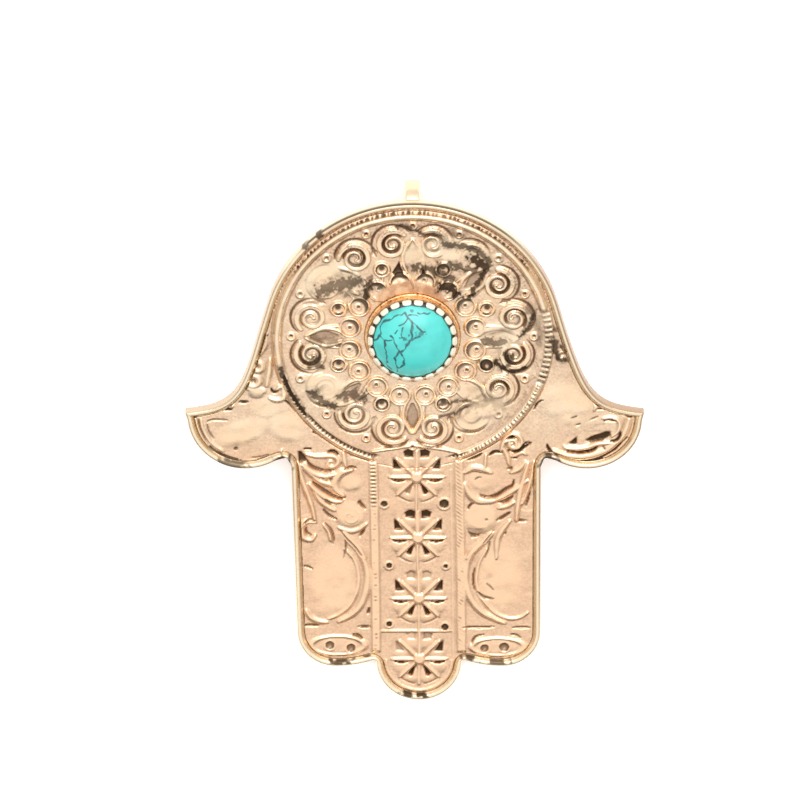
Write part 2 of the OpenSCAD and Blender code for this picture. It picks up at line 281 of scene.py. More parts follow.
# The outline, and loops inside it.

def bezier(a, b, c, d, steps):
    """Points between the ends a and d of a curve that b and c pull."""
    out = []
    for i in range(1, steps):
        t, s = i / steps, 1 - i / steps
        out.append(s ** 3 * a + 3 * s * s * t * b + 3 * s * t * t * c + t ** 3 * d)
    return out


def hand_outline():
    """The hand's outline, counter-clockwise, its corners slightly rounded, at even steps."""
    flare_a = np.array([0, -DOME_SINK]) + polar(DOME_R, DOME_END)
    flare_b = flare_a + FLARE_TOP * np.array([sin(DOME_END), -cos(DOME_END)])
    thumb_tip = np.array([HAND_W / 2, -THUMB_DROP])
    flare_c = thumb_tip + np.array([-FLARE_TIP, THUMB_DOWN])
    thumb = [HAND_W / 2 - THUMB_IN, -THUMB_DROP - THUMB_DOWN]
    corner_x = HALF_W - FINGER_TAPER - CORNER_R
    web = math.degrees(math.asin((corner_x - HALF_MID) / WEB_R))
    right = (arc([0, -DOME_SINK], DOME_R, 90, DOME_END, 74)
             + bezier(flare_a, flare_b, flare_c, thumb_tip, 60)
             + [thumb_tip]
             + arc(thumb, THUMB_R, -4, THUMB_TURN, 80)
             + [np.array([HALF_W + NOTCH_IN, -NOTCH_DROP]), np.array([HALF_W, -NOTCH_DROP - NOTCH_DOWN])]
             + arc([corner_x, -SIDE_L + CORNER_R], CORNER_R, 0, -90, 40)
             + arc([corner_x, -SIDE_L + WEB_R], WEB_R, -90, -90 - web, 20)[1:]
             + arc([0, -MIDDLE_L + HALF_MID], HALF_MID, 0, -90, 50))
    left = [p * [-1, 1] for p in right[1:-1]][::-1]
    loop = resampled(leaned(right + left)[::-1], 0.05)
    return resampled(rounded(loop, 2.4), EDGE_STEP)


def resampled(loop, step):
    """The closed loop with points at even steps."""
    closed = np.vstack([loop, loop[:1]])
    reach = np.concatenate([[0], np.cumsum(np.hypot(*np.diff(closed, axis=0).T))])
    at = np.linspace(0, reach[-1], int(reach[-1] / step), endpoint=False)
    return np.column_stack([np.interp(at, reach, closed[:, 0]), np.interp(at, reach, closed[:, 1])])


def bell(reach, sigma):
    """Weights that fall off over some places on each side of the middle one."""
    weights = np.exp(-0.5 * (np.arange(-reach, reach + 1) / sigma) ** 2)
    return weights / weights.sum()


def rounded(loop, sigma):
    """The closed loop with each point averaged over its neighbours."""
    reach = int(4 * sigma)
    out = np.zeros_like(loop)
    for shift, weight in enumerate(bell(reach, sigma), -reach):
        out += weight * np.roll(loop, shift, axis=0)
    return out


def inward_loops(loop, offsets):
    """Loops inside the given one, at rising distances from it, point for point."""
    out, ring, done = [], loop.copy(), 0.0
    for target in offsets:
        while done < target - 1e-9:
            step = min(0.04, target - done)
            along = np.roll(ring, -1, 0) - np.roll(ring, 1, 0)
            along /= np.hypot(*along.T)[:, None]
            ring = ring + step * np.column_stack([-along[:, 1], along[:, 0]])
            ring = 0.86 * ring + 0.07 * (np.roll(ring, 1, 0) + np.roll(ring, -1, 0))
            done += step
        out.append(ring.copy())
    return out


def inside_loop(points, loop):
    """Which points lie inside the closed loop."""
    inside = np.zeros(len(points), bool)
    a, b = loop, np.roll(loop, -1, 0)
    rise = np.where(b[:, 1] == a[:, 1], 1e-12, b[:, 1] - a[:, 1])
    for start in range(0, len(points), 4000):
        x, y = (points[start:start + 4000, k, None] for k in (0, 1))
        crosses = (a[:, 1] > y) != (b[:, 1] > y)
        at = a[:, 0] + (y - a[:, 1]) / rise * (b[:, 0] - a[:, 0])
        inside[start:start + 4000] = (crosses & (x < at)).sum(1) % 2 == 1
    return inside


# The relief: heights over the sunk field.

def path_distance(points, path):
    """Each point's distance to a path, and where along it the nearest place is, from 0 to 1."""
    a, d = path[:-1], np.diff(path, axis=0)
    length = np.hypot(*d.T)
    start = np.concatenate([[0], np.cumsum(length)[:-1]])
    rel_x = points[:, None, 0] - a[None, :, 0]
    rel_y = points[:, None, 1] - a[None, :, 1]
    t = np.clip((rel_x * d[:, 0] + rel_y * d[:, 1]) / (length ** 2 + 1e-12), 0, 1)
    gap = np.hypot(rel_x - t * d[:, 0], rel_y - t * d[:, 1])
    nearest = gap.argmin(1)
    rows = np.arange(len(points))
    share = (start[nearest] + t[rows, nearest] * length[nearest]) / length.sum()
    return gap[rows, nearest], share


def round_top(u):
    return np.clip(1 - u * u, 0, 1) ** 0.8


def flat_top(u):
    return 1 - ease(u, 0.55, 1.1)


def trough_top(u):
    """A broad band with raised edges."""
    return np.where(u < 0.6, 0.85 + 0.15 * (u / 0.6) ** 2, np.clip(1 - ((u - 0.6) / 0.4) ** 2, 0, 1) ** 0.8)


class Waves:
    """An even random swell, made from plane waves about one length."""

    def __init__(self, length, count=22):
        angle = rng.uniform(0, np.pi, count)
        number = 2 * np.pi / (length * rng.uniform(0.7, 1.5, count))
        self.k = np.column_stack([np.cos(angle), np.sin(angle)]) * number[:, None]
        self.phase = rng.uniform(0, 2 * np.pi, count)

    def at(self, points):
        out = np.zeros(len(points))
        for k, phase in zip(self.k, self.phase):
            out += np.sin(points @ k + phase)
        return out / math.sqrt(len(self.phase) / 2)


class Relief:
    """Heights over the sunk field, in millimetres, at many points on the hand."""

    def __init__(self, points):
        self.points = points
        self.up, self.down, self.worn, self.dents = np.zeros((4, len(points)))
        # The first of these holds painted shade and dark reflections, the last more painted shade.
        self.stain, self.plain, self.shade = np.zeros((3, len(points)))

    def near(self, path, margin):
        x, y = self.points.T
        low, high = path.min(0) - margin, path.max(0) + margin
        return np.flatnonzero((x > low[0]) & (x < high[0]) & (y > low[1]) & (y < high[1]))

    def sink_to(self, index, depth, share):
        """Sink a place to a depth; its deeper part gets painted shade."""
        lift(self.down, depth * share, index)
        lift(self.stain, ease(depth, 0.1, 0.32) * ease(share, 0.3, 0.75), index)

    def shape(self, path, width, end, top):
        """The points near a path, and how much of its full height each has."""
        path = np.asarray(path, float)
        index = self.near(path, width)
        gap, share = path_distance(self.points[index], path)
        half = 0.75 * width * (end + (1 - end) * np.sqrt(np.sin(np.pi * np.clip(share, 0.002, 0.998))))
        return index, top(gap / half)

    def ridge(self, path, width=STROKE_W, height=STROKE_H, end=0.4, top=round_top):
        index, share = self.shape(path, width, end, top)
        lift(self.up, height * share, index)

    def groove(self, path, width=0.3, depth=0.2, end=0.2):
        index, share = self.shape(path, 0.82 * width, end, round_top)
        self.sink_to(index, depth, share)

    def from_centre(self, centre, radius):
        centre = np.array(centre, float)
        index = self.near(np.array([centre, centre]), radius)
        return index, np.hypot(*(self.points[index] - centre).T)

    def ring(self, centre, radius, width, height):
        index, r = self.from_centre(centre, radius + width)
        lift(self.up, height * round_top(np.abs(r - radius) / (0.75 * width)), index)

    def dome(self, centre, radius, height, top=round_top):
        index, r = self.from_centre(centre, radius * 1.15)
        lift(self.up, height * top(r / radius), index)

    def bowl(self, centre, radius, depth, dark=0.0, lit=0.8, lean=0.08):
        """A round hollow, darkened with painted shade save for a lit disc that lies low in it."""
        index, r = self.from_centre(centre, radius)
        x, y = (self.points[index] - centre).T / radius
        lift(self.down, depth * np.sqrt(np.clip(1 - (r / radius) ** 2, 0, 1)), index)
        mask = dark * ease(np.hypot(x - lean, y + 0.4), lit - 0.1, lit + 0.16) * (r < radius * 0.97)
        lift(self.stain, mask, index)
        lift(self.plain, 1 - ease(r / radius, 0.85, 1.05), index)

    # A dark spot of painted shade, as in a small hole.
    def spot(self, centre, radius, strength):
        index, r = self.from_centre(centre, radius)
        lift(self.stain, strength * (1 - ease(r / radius, 0.45, 1)), index)

    def pit(self, corners, depth, soft=0.2):
        """A pit with sloped walls inside a closed shape."""
        corners = np.asarray(corners, float)
        index = self.near(corners, 0.05)
        points = self.points[index]
        gap, _ = path_distance(points, np.vstack([corners, corners[:1]]))
        inside = inside_loop(points, corners)
        self.sink_to(index, depth, ease(np.where(inside, gap, 0), -0.03, soft))

    def dark_reflection(self, path, width, strength, blots):
        """An uneven painted dark reflection along a path, in a fainter halo."""
        index = self.near(path, 1.6 * width)
        gap, _ = path_distance(self.points[index], path)
        reach = gap / width + 0.3 * blots[index]
        level = 1 - ease(reach, 0.55, 1.0)
        halo = 0.35 * (1 - ease(reach, 0.8, 1.6))
        lift(self.stain, strength * np.maximum(level, halo), index)

    def wear(self, centre, size, turn=0, share=1.0, dents=1.0):
        """A place hammered smooth: an ellipse where the pattern fades."""
        rel = turned(self.points - np.array(centre, float), -turn) / size
        level = share * (1 - ease(np.hypot(*rel.T), 0.55, 1.15))
        lift(self.worn, level)
        lift(self.dents, dents * level)

    def height(self):
        """The finished height: pattern, worn places and the swell of the casting."""
        swell = SWELL.at(self.points) + 0.4 * FINE.at(self.points)
        pattern = (self.up - self.down) * (1 - 0.97 * self.worn)
        return (pattern + 0.12 * self.worn + DENT_H * self.dents * DENTS.at(self.points)
                + SWELL_H * swell)

    def ground(self):
        """How much each point belongs to the bare, pitted field."""
        return (1 - np.clip((self.up - 0.06) / 0.12, 0, 1)) * (1 - self.worn)


SWELL = Waves(3.4)
FINE = Waves(1.3)
DENTS = Waves(2.6)
BLOTS = Waves(0.85)
SPECKS = Waves(0.34)


# The medallion's pattern.

EYES_R = 7.65
EYES_AT = np.array([0.0, -0.25])
BEADS_R = 9.6
SCROLL_SHARE = 0.645
DOT_SHARE = 0.86
PETAL_SIDE = [[0.27, 0.06], [0.36, 0.1], [0.48, 0.11], [0.6, 0.06], [0.69, 0.012]]
PETAL_FLOOR = [[0.3, 0.02], [0.42, 0.07], [0.52, 0.075], [0.64, 0.015]]
# How much of each bead's hollow is left lit by its painted shade, and two pits over the stone that are dark
# with painted shade.
BEADS_LIT = (0.78, 0.9, 0.8, 0.6, 0.85, 0.2, 0.9, 0.6)
MEDAL_PITS = (((-1.6, 9.9), (-2.5, 8.3), (-1.9, 8.0), (-1.0, 8.2)),
              ((1.3, 9.0), (0.9, 8.1), (1.8, 8.0)))
# A low band over the topmost rosette, at the medallion's foot.
FOOT_BAND = ((-4.9, -15.2), (-2.1, -14.7), (0.3, -14.4), (2.8, -14.7), (5.5, -15.3))
SCROLL_R = 2.0
SCROLL_END_R = 0.3
SCROLL_TURN = 600
RING_MID = RING_R - RING_W / 2
RING_HALF_IN = 0.56
RING_HALF_OUT = 0.46
DOME_C = (0, -DOME_SINK)


def row(share):
    """Distance from the centre at a share of the way from the setting to the ring."""
    return SEAT_R + share * (RING_IN - SEAT_R)


def flank(rows):
    """A petal's side, from shares of the way out and across."""
    return [[row(q[0]), q[1] * (RING_IN - SEAT_R)] for q in rows]


def scroll_path(radius, turn):
    return spiral(polar(row(SCROLL_SHARE), SECTOR / 4), radius, SECTOR / 4 - 60, turn, SCROLL_END_R, 60)


def eye(relief, centre, angle):
    """A shallow round bowl with a thin lip and a small bead in it, with painted shade in the bowl and on the
    bead; those above the stone get more painted shade.
    """
    centre = turned([centre], angle)[0]
    high = centre[1] / EYES_R
    centre = centre + EYES_AT
    relief.ring(centre, EYE_R - 0.12, 0.26, STROKE_H)
    dark = 0.8 + 0.15 * high
    lit = 0.92 - 0.12 * high + rng.uniform(-0.05, 0.05)
    relief.bowl(centre, EYE_R - 0.18, 0.12, dark, lit, 0.35 * centre[0] / EYES_R)
    nub = centre + rng.uniform(-0.2, 0.2, 2)
    relief.ring(nub, 0.3, 0.18, 0.16)
    relief.spot(nub, 0.3, 0.8)


def half_petal(relief, angle, side):
    """One side of a petal, the scroll beside it and the eye at its foot."""
    def place(points):
        return turned(np.array(points, float) * [1, side], angle)
    relief.ridge(place(smooth(flank(PETAL_SIDE))), 0.46, STROKE_H + 0.02)
    radius = SCROLL_R + rng.uniform(-0.12, 0.08)
    turn = SCROLL_TURN + rng.uniform(-40, 40)
    relief.ridge(place(scroll_path(radius, turn)), 0.5, STROKE_H + 0.05, 0.6, trough_top)
    relief.groove(place(scroll_path(radius - 0.52, turn)), 0.32, 0.26)
    neck = [polar(row(0.3), SECTOR / 4 - 2), polar(row(0.42), SECTOR / 6), polar(row(0.56), SECTOR / 9)]
    relief.ridge(place(smooth(neck)), 0.3, STROKE_H * 0.8)
    outside = arc(polar(row(SCROLL_SHARE), SECTOR / 4), SCROLL_R + 0.5, -50, 130, 20)
    relief.groove(place(outside), 0.28, 0.24)
    eye(relief, polar(EYES_R, SECTOR / 4) * [1, side], angle)


def medallion_pattern(relief):
    """The petals with their eyes and scrolls, and the dots and beads between and over them."""
    leaf = np.array(flank(PETAL_FLOOR))
    leaf = np.vstack([leaf, leaf[::-1] * [1, -1]])
    for k in range(PETALS):
        angle = 90 + SECTOR * k
        for side in (-1, 1):
            half_petal(relief, angle, side)
        for turn in (0, SECTOR / 2):
            dot = polar(row(DOT_SHARE), angle + turn)
            relief.ring(dot, DOT_R, 0.26, STROKE_H * 0.7)
            relief.bowl(dot, 0.34, 0.14)
            relief.spot(dot + (0.02, 0.06), 0.27, 0.95)
        bead = polar(BEADS_R, angle + SECTOR / 2)
        relief.ring(bead, BEAD_R - 0.1, 0.3, STROKE_H + 0.03)
        relief.bowl(bead, BEAD_R - 0.15, 0.2, 0.95, BEADS_LIT[k])
        relief.spot(bead + rng.uniform(-0.08, 0.08, 2) + (0, 0.12), 0.52, 0.92)
        relief.bowl(polar(row(0.6), angle + SECTOR / 2), 0.4, 0.24, 0.6)
        relief.pit(turned(leaf, angle), 0.2)
    for corners in MEDAL_PITS:
        relief.pit(corners, 0.5)


# Fine wedges round the medallion, darkened with painted shade: start and end angle, inner and outer
# distance from the dome's centre, pitch, how far they run together, how even they are, and where they stand
# clear.
CUTS = ((32, 150, 16.62, 17.05, 0.62, 0.3, 0.3, 74, 108),
        (-66, -18, 16.05, 16.6, 0.46, 0.3, 0.8, -62, -20),
        (194, 220, 15.95, 16.5, 0.44, 0.65, 0.3, 300, 310),
        (216, 256, 15.8, 16.28, 0.44, 0.5, 0.8, 300, 310),
        (-76, -64, 16.0, 16.4, 0.44, 0.5, 0.3, 300, 310))
CUT_DEPTH = 0.15
# Bars across the ring: start and end angle, inner and outer distance.
BARS = (-20, 13, 15.75, 16.95)
BARS_PITCH = 0.66
BARS_H = 0.22
# Pitch of the rungs beside the middle finger.
RUNG_PITCH = 0.5


def edge_patterns(relief):
    """The medallion's ring with its fine cuts and bars, with painted shade in the cuts, between the bars and
    over them.
    """
    points = relief.points
    r, angle = about_dome(points)
    fine = FINE.at(points)
    across = np.minimum(np.abs(points[:, 0] - 0.3), 9)
    gap = np.where(points[:, 1] < 0, ease(across, 4.9, 5.2), 1)
    half = np.where(r < RING_MID, RING_HALF_IN, RING_HALF_OUT)
    ring = RING_H * round_top(np.abs(r - RING_MID) / half) * gap
    start, end, low, high = BARS
    middle = (low + high) / 2
    in_bars = ease(angle, start - 2, start) * (1 - ease(angle, end, end + 2))
    bars = np.cos(np.radians(angle) * middle / BARS_PITCH * 2 * np.pi) * 0.5 + 0.5
    over = flat_top(np.abs(r - middle) / ((high - low) / 2))
    bars = bars ** 0.8 * over
    few = 1 - 0.6 * ease(angle, 5, 9)
    weak = 0.35 + 0.65 * ease(fine + 0.5 * SPECKS.at(points), -0.9, 0.5)
    lift(relief.stain, few * np.sqrt(weak) * in_bars * over * (1 - ease(bars, 0.25, 0.5)))
    lift(relief.shade, 0.18 * in_bars * over)
    lift(relief.up, np.maximum(ring * (1 - 0.75 * in_bars), in_bars * bars * BARS_H))
    waver = 1.1 * FINE.at(DOME_C + 17 * (points - DOME_C) / np.maximum(r, 1)[:, None])
    for start, end, near, far, pitch, joined, even, clear_from, clear_to in CUTS:
        full = np.where(angle < start - 2, angle + 360, angle)
        on = ease(full, start - 1, start + 4) * (1 - ease(full, end - 4, end + 1))
        clear = (ease(full, clear_from - 4, clear_from + 4)
                 * (1 - ease(full, clear_to - 4, clear_to + 4)))
        wave = np.cos(np.radians(full) * near / pitch * 2 * np.pi + waver)
        bold = even + (1 - even) * weak
        share = (r - near) / (far - near)
        reach = (0.25 + 0.7 * wave) * bold * (0.4 + 0.6 * clear) + joined * (1 - clear)
        cut = on * ease(reach - share, -0.15, 0.2) * ease(share, -0.15, 0.1)
        lift(relief.down, CUT_DEPTH * cut)
        lift(relief.stain, cut * (1 - 0.3 * clear) * np.maximum(np.sqrt(bold), 2 * joined))


# Places hammered smooth on the medallion: centre, half sizes, turn, strength.
WORN = (
    ((-10.6, 7.4), (3.7, 2.7), 35, 0.97),
    ((6.4, 10.6), (4.8, 2.2), -22, 0.95),
    ((-10.4, -7.0), (3.6, 2.5), -35, 0.95),
    ((8.4, -9.9), (4.6, 2.2), 35, 0.97),
    ((10.4, 0.0), (3.3, 2.0), 0, 0.95),
    ((-12.2, 2.6), (2.3, 2.0), 0, 0.5),
    ((2.6, 12.0), (1.6, 1.4), 0, 0.55),
    ((0.2, 10.7), (1.5, 2.0), 0, 0.93),
    ((6.9, -7.4), (1.9, 1.5), 0, 0.9),
    ((-8.0, 7.2), (2.8, 1.9), -20, 0.95),
    ((-5.6, -10.9), (2.3, 1.7), -20, 0.5),
    ((-2.6, -12.4), (2.0, 1.6), 0, 0.35),
    ((2.9, -12.4), (2.0, 1.6), 0, 0.3),
)


# Thin raised lines of solder over the stone.
SOLDER_LINES = (((-0.5, 8.6), (-0.3, 7.8), (0.0, 6.9), (0.1, 6.3)), ((3.5, 8.4), (3.2, 7.4), (3.0, 6.8)),
                ((-3.3, 8.4), (-3.6, 7.6), (-3.5, 7.0)))


def reflections_and_shade(relief):
    """Painted dark reflections, and brown grain painted as shade along the medallion's top and the right of
    the rim.
    """
    fine, blots, specks = (waves.at(relief.points) for waves in (FINE, BLOTS, SPECKS))
    for width, strength, path in DARK_REFLECTIONS:
        relief.dark_reflection(in_mm(path), width, strength, 0.8 * blots + 0.45 * specks)
    r, angle = about_dome(relief.points)
    grain = ease(0.45 * blots + 0.6 * specks + 0.35 * fine, -0.3, 1.3)
    within = 1 - ease(r, 15.6, 15.9)
    upper = ease(r, 13.2, 14.4) * within * ease(angle, 5, 30) * (1 - ease(angle, 140, 170))
    outer = ease(r, 16.85, 17.1) * np.maximum(ease(angle, -18, -6), 1 - ease(angle, -176, -168))
    inner = ease(r, 14.6, 15.2) * within * ease(angle, -60, -45) * (1 - ease(angle, 5, 30))
    level = np.maximum((0.2 + 0.2 * grain) * outer, (0.1 + 0.75 * grain) * np.maximum(upper, 0.8 * inner))
    lift(relief.shade, level * (1 - relief.worn))


def wear_medallion(relief):
    """Wear the pattern down, in places and over the stone, where solder lines are left; returns
    how far each point lies in the soldered patch."""
    for centre, size, turn, share in WORN:
        relief.wear(centre, size, turn, share)
    x, y = relief.points.T
    patch = (1 - ease(np.hypot((x + 0.3) / 5.0, (y - 3.1) / 4.7), 0.86, 1.0)) * (y > 4.6)
    foot = 1 - ease(np.hypot(x, y), SEAT_R + 0.35, SEAT_R + 0.8)
    relief.up *= 1 - np.maximum(patch, 0.8 * foot)
    relief.down *= 1 - np.maximum(patch, foot)
    relief.stain *= 1 - np.maximum(patch, foot)
    relief.stain *= 1 - 0.92 * relief.worn
    reflections_and_shade(relief)
    lift(relief.up, 0.13 * patch)
    for path in SOLDER_LINES:
        relief.ridge(smooth(path), 0.2, 0.26, 0.3)
    return patch


# The middle finger.

ROSETTE_STEP = (MIDDLE_L - LAST_GAP - FIRST_DROP) / (ROSETTES - 1)
ROSETTE_SHIFT = 0.05
RIDGE_TOP = NOTCH_DROP + 0.3
RIDGE_END = SIDE_L - 1.6


# Pits on the right of a rosette, darkened with painted shade, and how dark each is on the four rosettes:
# left, right.
ROSETTE_PITS = (
    (((0.4, 2.5), (1.45, 2.6), (1.65, 3.3), (1.0, 3.65), (0.38, 3.5)),
     ((1, 0.9), (1, 1), (0.4, 0.35), (0.3, 0.45))),
    (((1.7, 0.95), (2.85, 1.0), (2.9, 2.5), (2.6, 2.2)),
     ((0.8, 0.65), (1, 1), (1, 0.9), (0.4, 0.8))),
    (((1.1, -0.22), (2.0, -0.28), (3.3, -0.12), (3.0, -0.55), (2.2, -0.74), (1.4, -0.56)),
     ((1, 1), (0.9, 0.9), (0.85, 0.85), (0.8, 0.9))),
    (((0.42, -0.95), (0.75, -1.05), (1.5, -2.05), (1.1, -2.35), (0.8, -2.3)),
     ((0.45, 1), (1, 1), (1, 1), (1, 1))),
)
# The rosettes' eight spokes, from the right one round: width, added height, fullness of the ends.
LEVEL_SPOKE, SLANT_SPOKE = (0.42, 0.04, 0.1), (0.4, -0.04, 0.5)
SPOKES = (LEVEL_SPOKE, SLANT_SPOKE, (0.42, -0.06, 0.7), SLANT_SPOKE,
          LEVEL_SPOKE, SLANT_SPOKE, (0.22, -0.06, 0.7), SLANT_SPOKE)


def rosette(relief, number):
    """One of the middle finger's rosettes, numbered from the top."""
    y = -FIRST_DROP - number * ROSETTE_STEP
    centre = np.array([float(lean_at(y)) + ROSETTE_SHIFT, y])
    for k in range(len(SPOKES)):
        relief.dome(centre + polar(ROSETTE_R * 0.68, 45 * k + 22.5), 1.1, 0.15)
    for corners, shares in ROSETTE_PITS:
        for side, share in zip((-1, 1), shares[number]):
            relief.pit(flipped(corners, side) + centre, 0.12 + 0.45 * share ** 2, 0.16)
    for low, high in ((-100, -140), (-80, -40)):
        relief.groove(arc([0, 0], ROSETTE_R * 0.95, low, high, 8) + centre, 0.2, 0.16)
    for k, (wide, high, end) in enumerate(SPOKES):
        before = relief.up.copy()
        spoke = np.array([polar(ROSETTE_R * 0.95 if far else HUB_R * 0.6, 45 * k) for far in (0, 1)])
        relief.ridge(spoke + centre, wide, STROKE_H + high - 0.05, end)
        over = relief.up > before
        relief.down[over] *= 0.25
        relief.stain[over] *= 0.2
    relief.dome(centre, HUB_R * 1.15, STROKE_H + 0.06, flat_top)


def ladder(relief, side):
    """A notched ridge beside the middle finger, with painted shade in the notches: dark rungs on the left,
    faint rope on the right.
    """
    x, y = relief.points.T
    across = x - lean_at(y) - side * HALF_MID
    on = ease(-y, RIDGE_TOP - 0.2, RIDGE_TOP + 0.3) * (1 - ease(-y, RIDGE_END - 0.5, RIDGE_END))
    lift(relief.up, on * flat_top(np.abs(across) / (RIDGE_W * 0.62)) * 0.26)
    slant = 0 if side < 0 else 0.9
    rung = ease(np.cos((y + slant * across) / RUNG_PITCH * 2 * np.pi), 0.25, 0.85)
    rung *= round_top(np.abs(across + 0.05) / 0.42) * on
    if side < 0:
        strong = 1 - ease(-y, 21.8, 23.4)
        faint = 0.5 * ease(FINE.at(relief.points), 0.1, 0.9) * round_top(np.abs(across) / 0.25)
    else:
        strong = 0.12 + 0.35 * (1 - ease(-y, 26, 28))
        faint = 0.65 * ease(FINE.at(relief.points), 0.2, 1.0)
    level = rung * np.maximum(strong, faint)
    lift(relief.down, 0.18 * level)
    lift(relief.stain, level)


# Small ringed holes on the middle finger, dark with painted shade: place and size.
FINGER_DOTS = ((-3.4, -22.2, 0.4), (3.8, -22.2, 0.58), (-2.8, -30.4, 0.34), (-2.8, -38.2, 0.34),
               (3.9, -38.6, 0.42), (4.0, -30.5, 0.25))


def middle_finger(relief):
    """The rosettes, notched ridges, spine, crossbar and small holes of the middle finger."""
    for number in range(ROSETTES):
        rosette(relief, number)
    ladder(relief, -1)
    ladder(relief, 1)
    spine = [[0.4, -15.0], [0.5, -26], [0.75, -35], [0.75, -46.2]]
    relief.ridge(smooth(spine), 0.2, STROKE_H * 0.75, 0.9)
    relief.ridge([[-4.0, -39.1], [4.7, -39.1]], 0.26, STROKE_H * 0.6)
    for x, y, size in FINGER_DOTS:
        relief.ring((x, y), size + 0.1, 0.3, 0.12)
        relief.bowl((x, y), size, 0.3, 0.95, -0.1)
    tip_y, side_x = -MIDDLE_L + HALF_MID, HALF_MID - 1.0
    tip = leaned(arc([0, tip_y], HALF_MID - RIM_W - 0.6, 0, -180, 40))
    side = leaned([[side_x, -RIDGE_TOP - 1.5], [side_x, -30], [side_x, tip_y]])
    relief.ridge(tip, 0.3, STROKE_H * 0.5, 0.9)
    relief.ridge(side, 0.26, STROKE_H * 0.35, 0.9)


# Lines of the side fingers, thumbs and shoulders: width, height or depth, and the path, which is
# listed as x, y, x, y ... in tenths of a millimetre.
RIDGES = (
    (0.6, 0.36, (-133, -169, -124, -177, -115, -183, -105, -185, -93, -182)),
    (0.5, 0.34, (-128, -155, -116, -158, -102, -158, -93, -159, -89, -165, -93, -171, -99, -172,
     -102, -168, -99, -164, -96, -166)),
    (0.5, 0.3, (-83, -152, -82, -163, -80, -172)),
    (0.85, 0.34, (-73, -176, -85, -180, -92, -188, -94, -196, -91, -204, -83, -210)),
    (0.55, 0.32, (-131, -174, -118, -186, -110, -192, -101, -195, -94, -199)),
    (0.6, 0.36, (-124, -195, -115, -205, -105, -213, -95, -218, -85, -218)),
    (0.55, 0.32, (-118, -206, -110, -218, -100, -226, -93, -230)),
    (0.55, 0.36, (-137, -167, -134, -183, -129, -200, -124, -215, -120, -229, -117, -244)),
    (0.6, 0.36, (-117, -246, -124, -244, -132, -248, -134, -256, -131, -266, -122, -269, -117, -263)),
    (0.4, 0.3, (-107, -249, -101, -258, -98, -271)),
    (0.5, 0.26, (-89, -253, -75, -258, -64, -255, -55, -248)),
    (0.7, 0.33, (-83, -259, -73, -272, -63, -284, -57, -294)),
    (0.5, 0.32, (108, -146, 114, -158, 116, -169)),
    (0.36, 0.3, (88, -156, 87, -175)),
    (0.7, 0.32, (63, -180, 73, -174, 85, -176, 95, -180)),
    (0.8, 0.34, (63, -195, 68, -207, 78, -217, 90, -218, 99, -217)),
    (0.55, 0.34, (98, -217, 109, -212, 118, -206, 129, -198, 138, -190)),
    (0.5, 0.32, (103, -227, 114, -224, 122, -219)),
    (0.5, 0.32, (118, -180, 128, -175, 136, -165)),
    (0.45, 0.33, (120, -159, 131, -153, 137, -156)),
    (0.6, 0.36, (139, -167, 133, -190, 129, -208, 126, -229, 125, -244)),
    (0.42, 0.33, (146, -165, 144, -179, 141, -195, 136, -211, 132, -222)),
    (0.65, 0.33, (65, -294, 74, -283, 85, -272, 96, -260)),
    (0.6, 0.33, (101, -294, 102, -271, 107, -258, 117, -244)),
    (0.7, 0.32, (-67, -281, -59, -296, -54, -315, -56, -337, -62, -355, -73, -369, -89, -378)),
    (0.42, 0.22, (-82, -281, -70, -296, -65, -315, -67, -337, -76, -357, -89, -369, -102, -375)),
    (0.5, 0.28, (-128, -363, -123, -372, -113, -378, -102, -379)),
    (0.7, 0.32, (75, -281, 66, -301, 64, -325, 70, -347, 82, -364, 98, -374, 111, -380)),
    (0.42, 0.24, (90, -281, 80, -301, 77, -325, 84, -347, 99, -366, 115, -374, 129, -373, 139, -366)),
    (0.5, 0.3, (-175, 3, -177, -12, -185, -26)),
    (1.3, 0.24, (-195, -69, -187, -73, -179, -72)),
    (0.55, 0.34, (-171, -30, -172, -46, -174, -57, -175, -66)),
    (0.55, 0.34, (-163, -69, -157, -66, -153, -74, -156, -82, -164, -84, -172, -81)),
    (0.3, 0.25, (-219, -85, -216, -93)),
    (0.45, 0.34, (-262, -105, -258, -119, -252, -134, -243, -147, -233, -157, -222, -164, -211, -167,
     -199, -167, -186, -165, -173, -161, -161, -155, -157, -150)),
    (0.34, 0.24, (-254, -109, -252, -121, -246, -134, -238, -144, -227, -152)),
    (0.4, 0.26, (220, -82, 221, -89, 218, -98)),
    (0.7, 0.36, (169, -150, 177, -154, 185, -157, 198, -159, 211, -158, 224, -154, 234, -149, 244, -140,
     253, -130, 258, -117, 260, -104, 253, -101)),
    (0.45, 0.34, (182, -145, 185, -147, 198, -148, 211, -146, 221, -142, 231, -141, 241, -140)),
    (0.4, 0.3, (228, -108, 238, -107, 246, -110, 249, -117, 246, -126, 239, -132)),
    (0.42, 0.34, (106, -152, 108, -142, 111, -139, 115, -137, 122, -137, 125, -142, 123, -146,
     117, -145, 117, -142, 121, -140)),
)
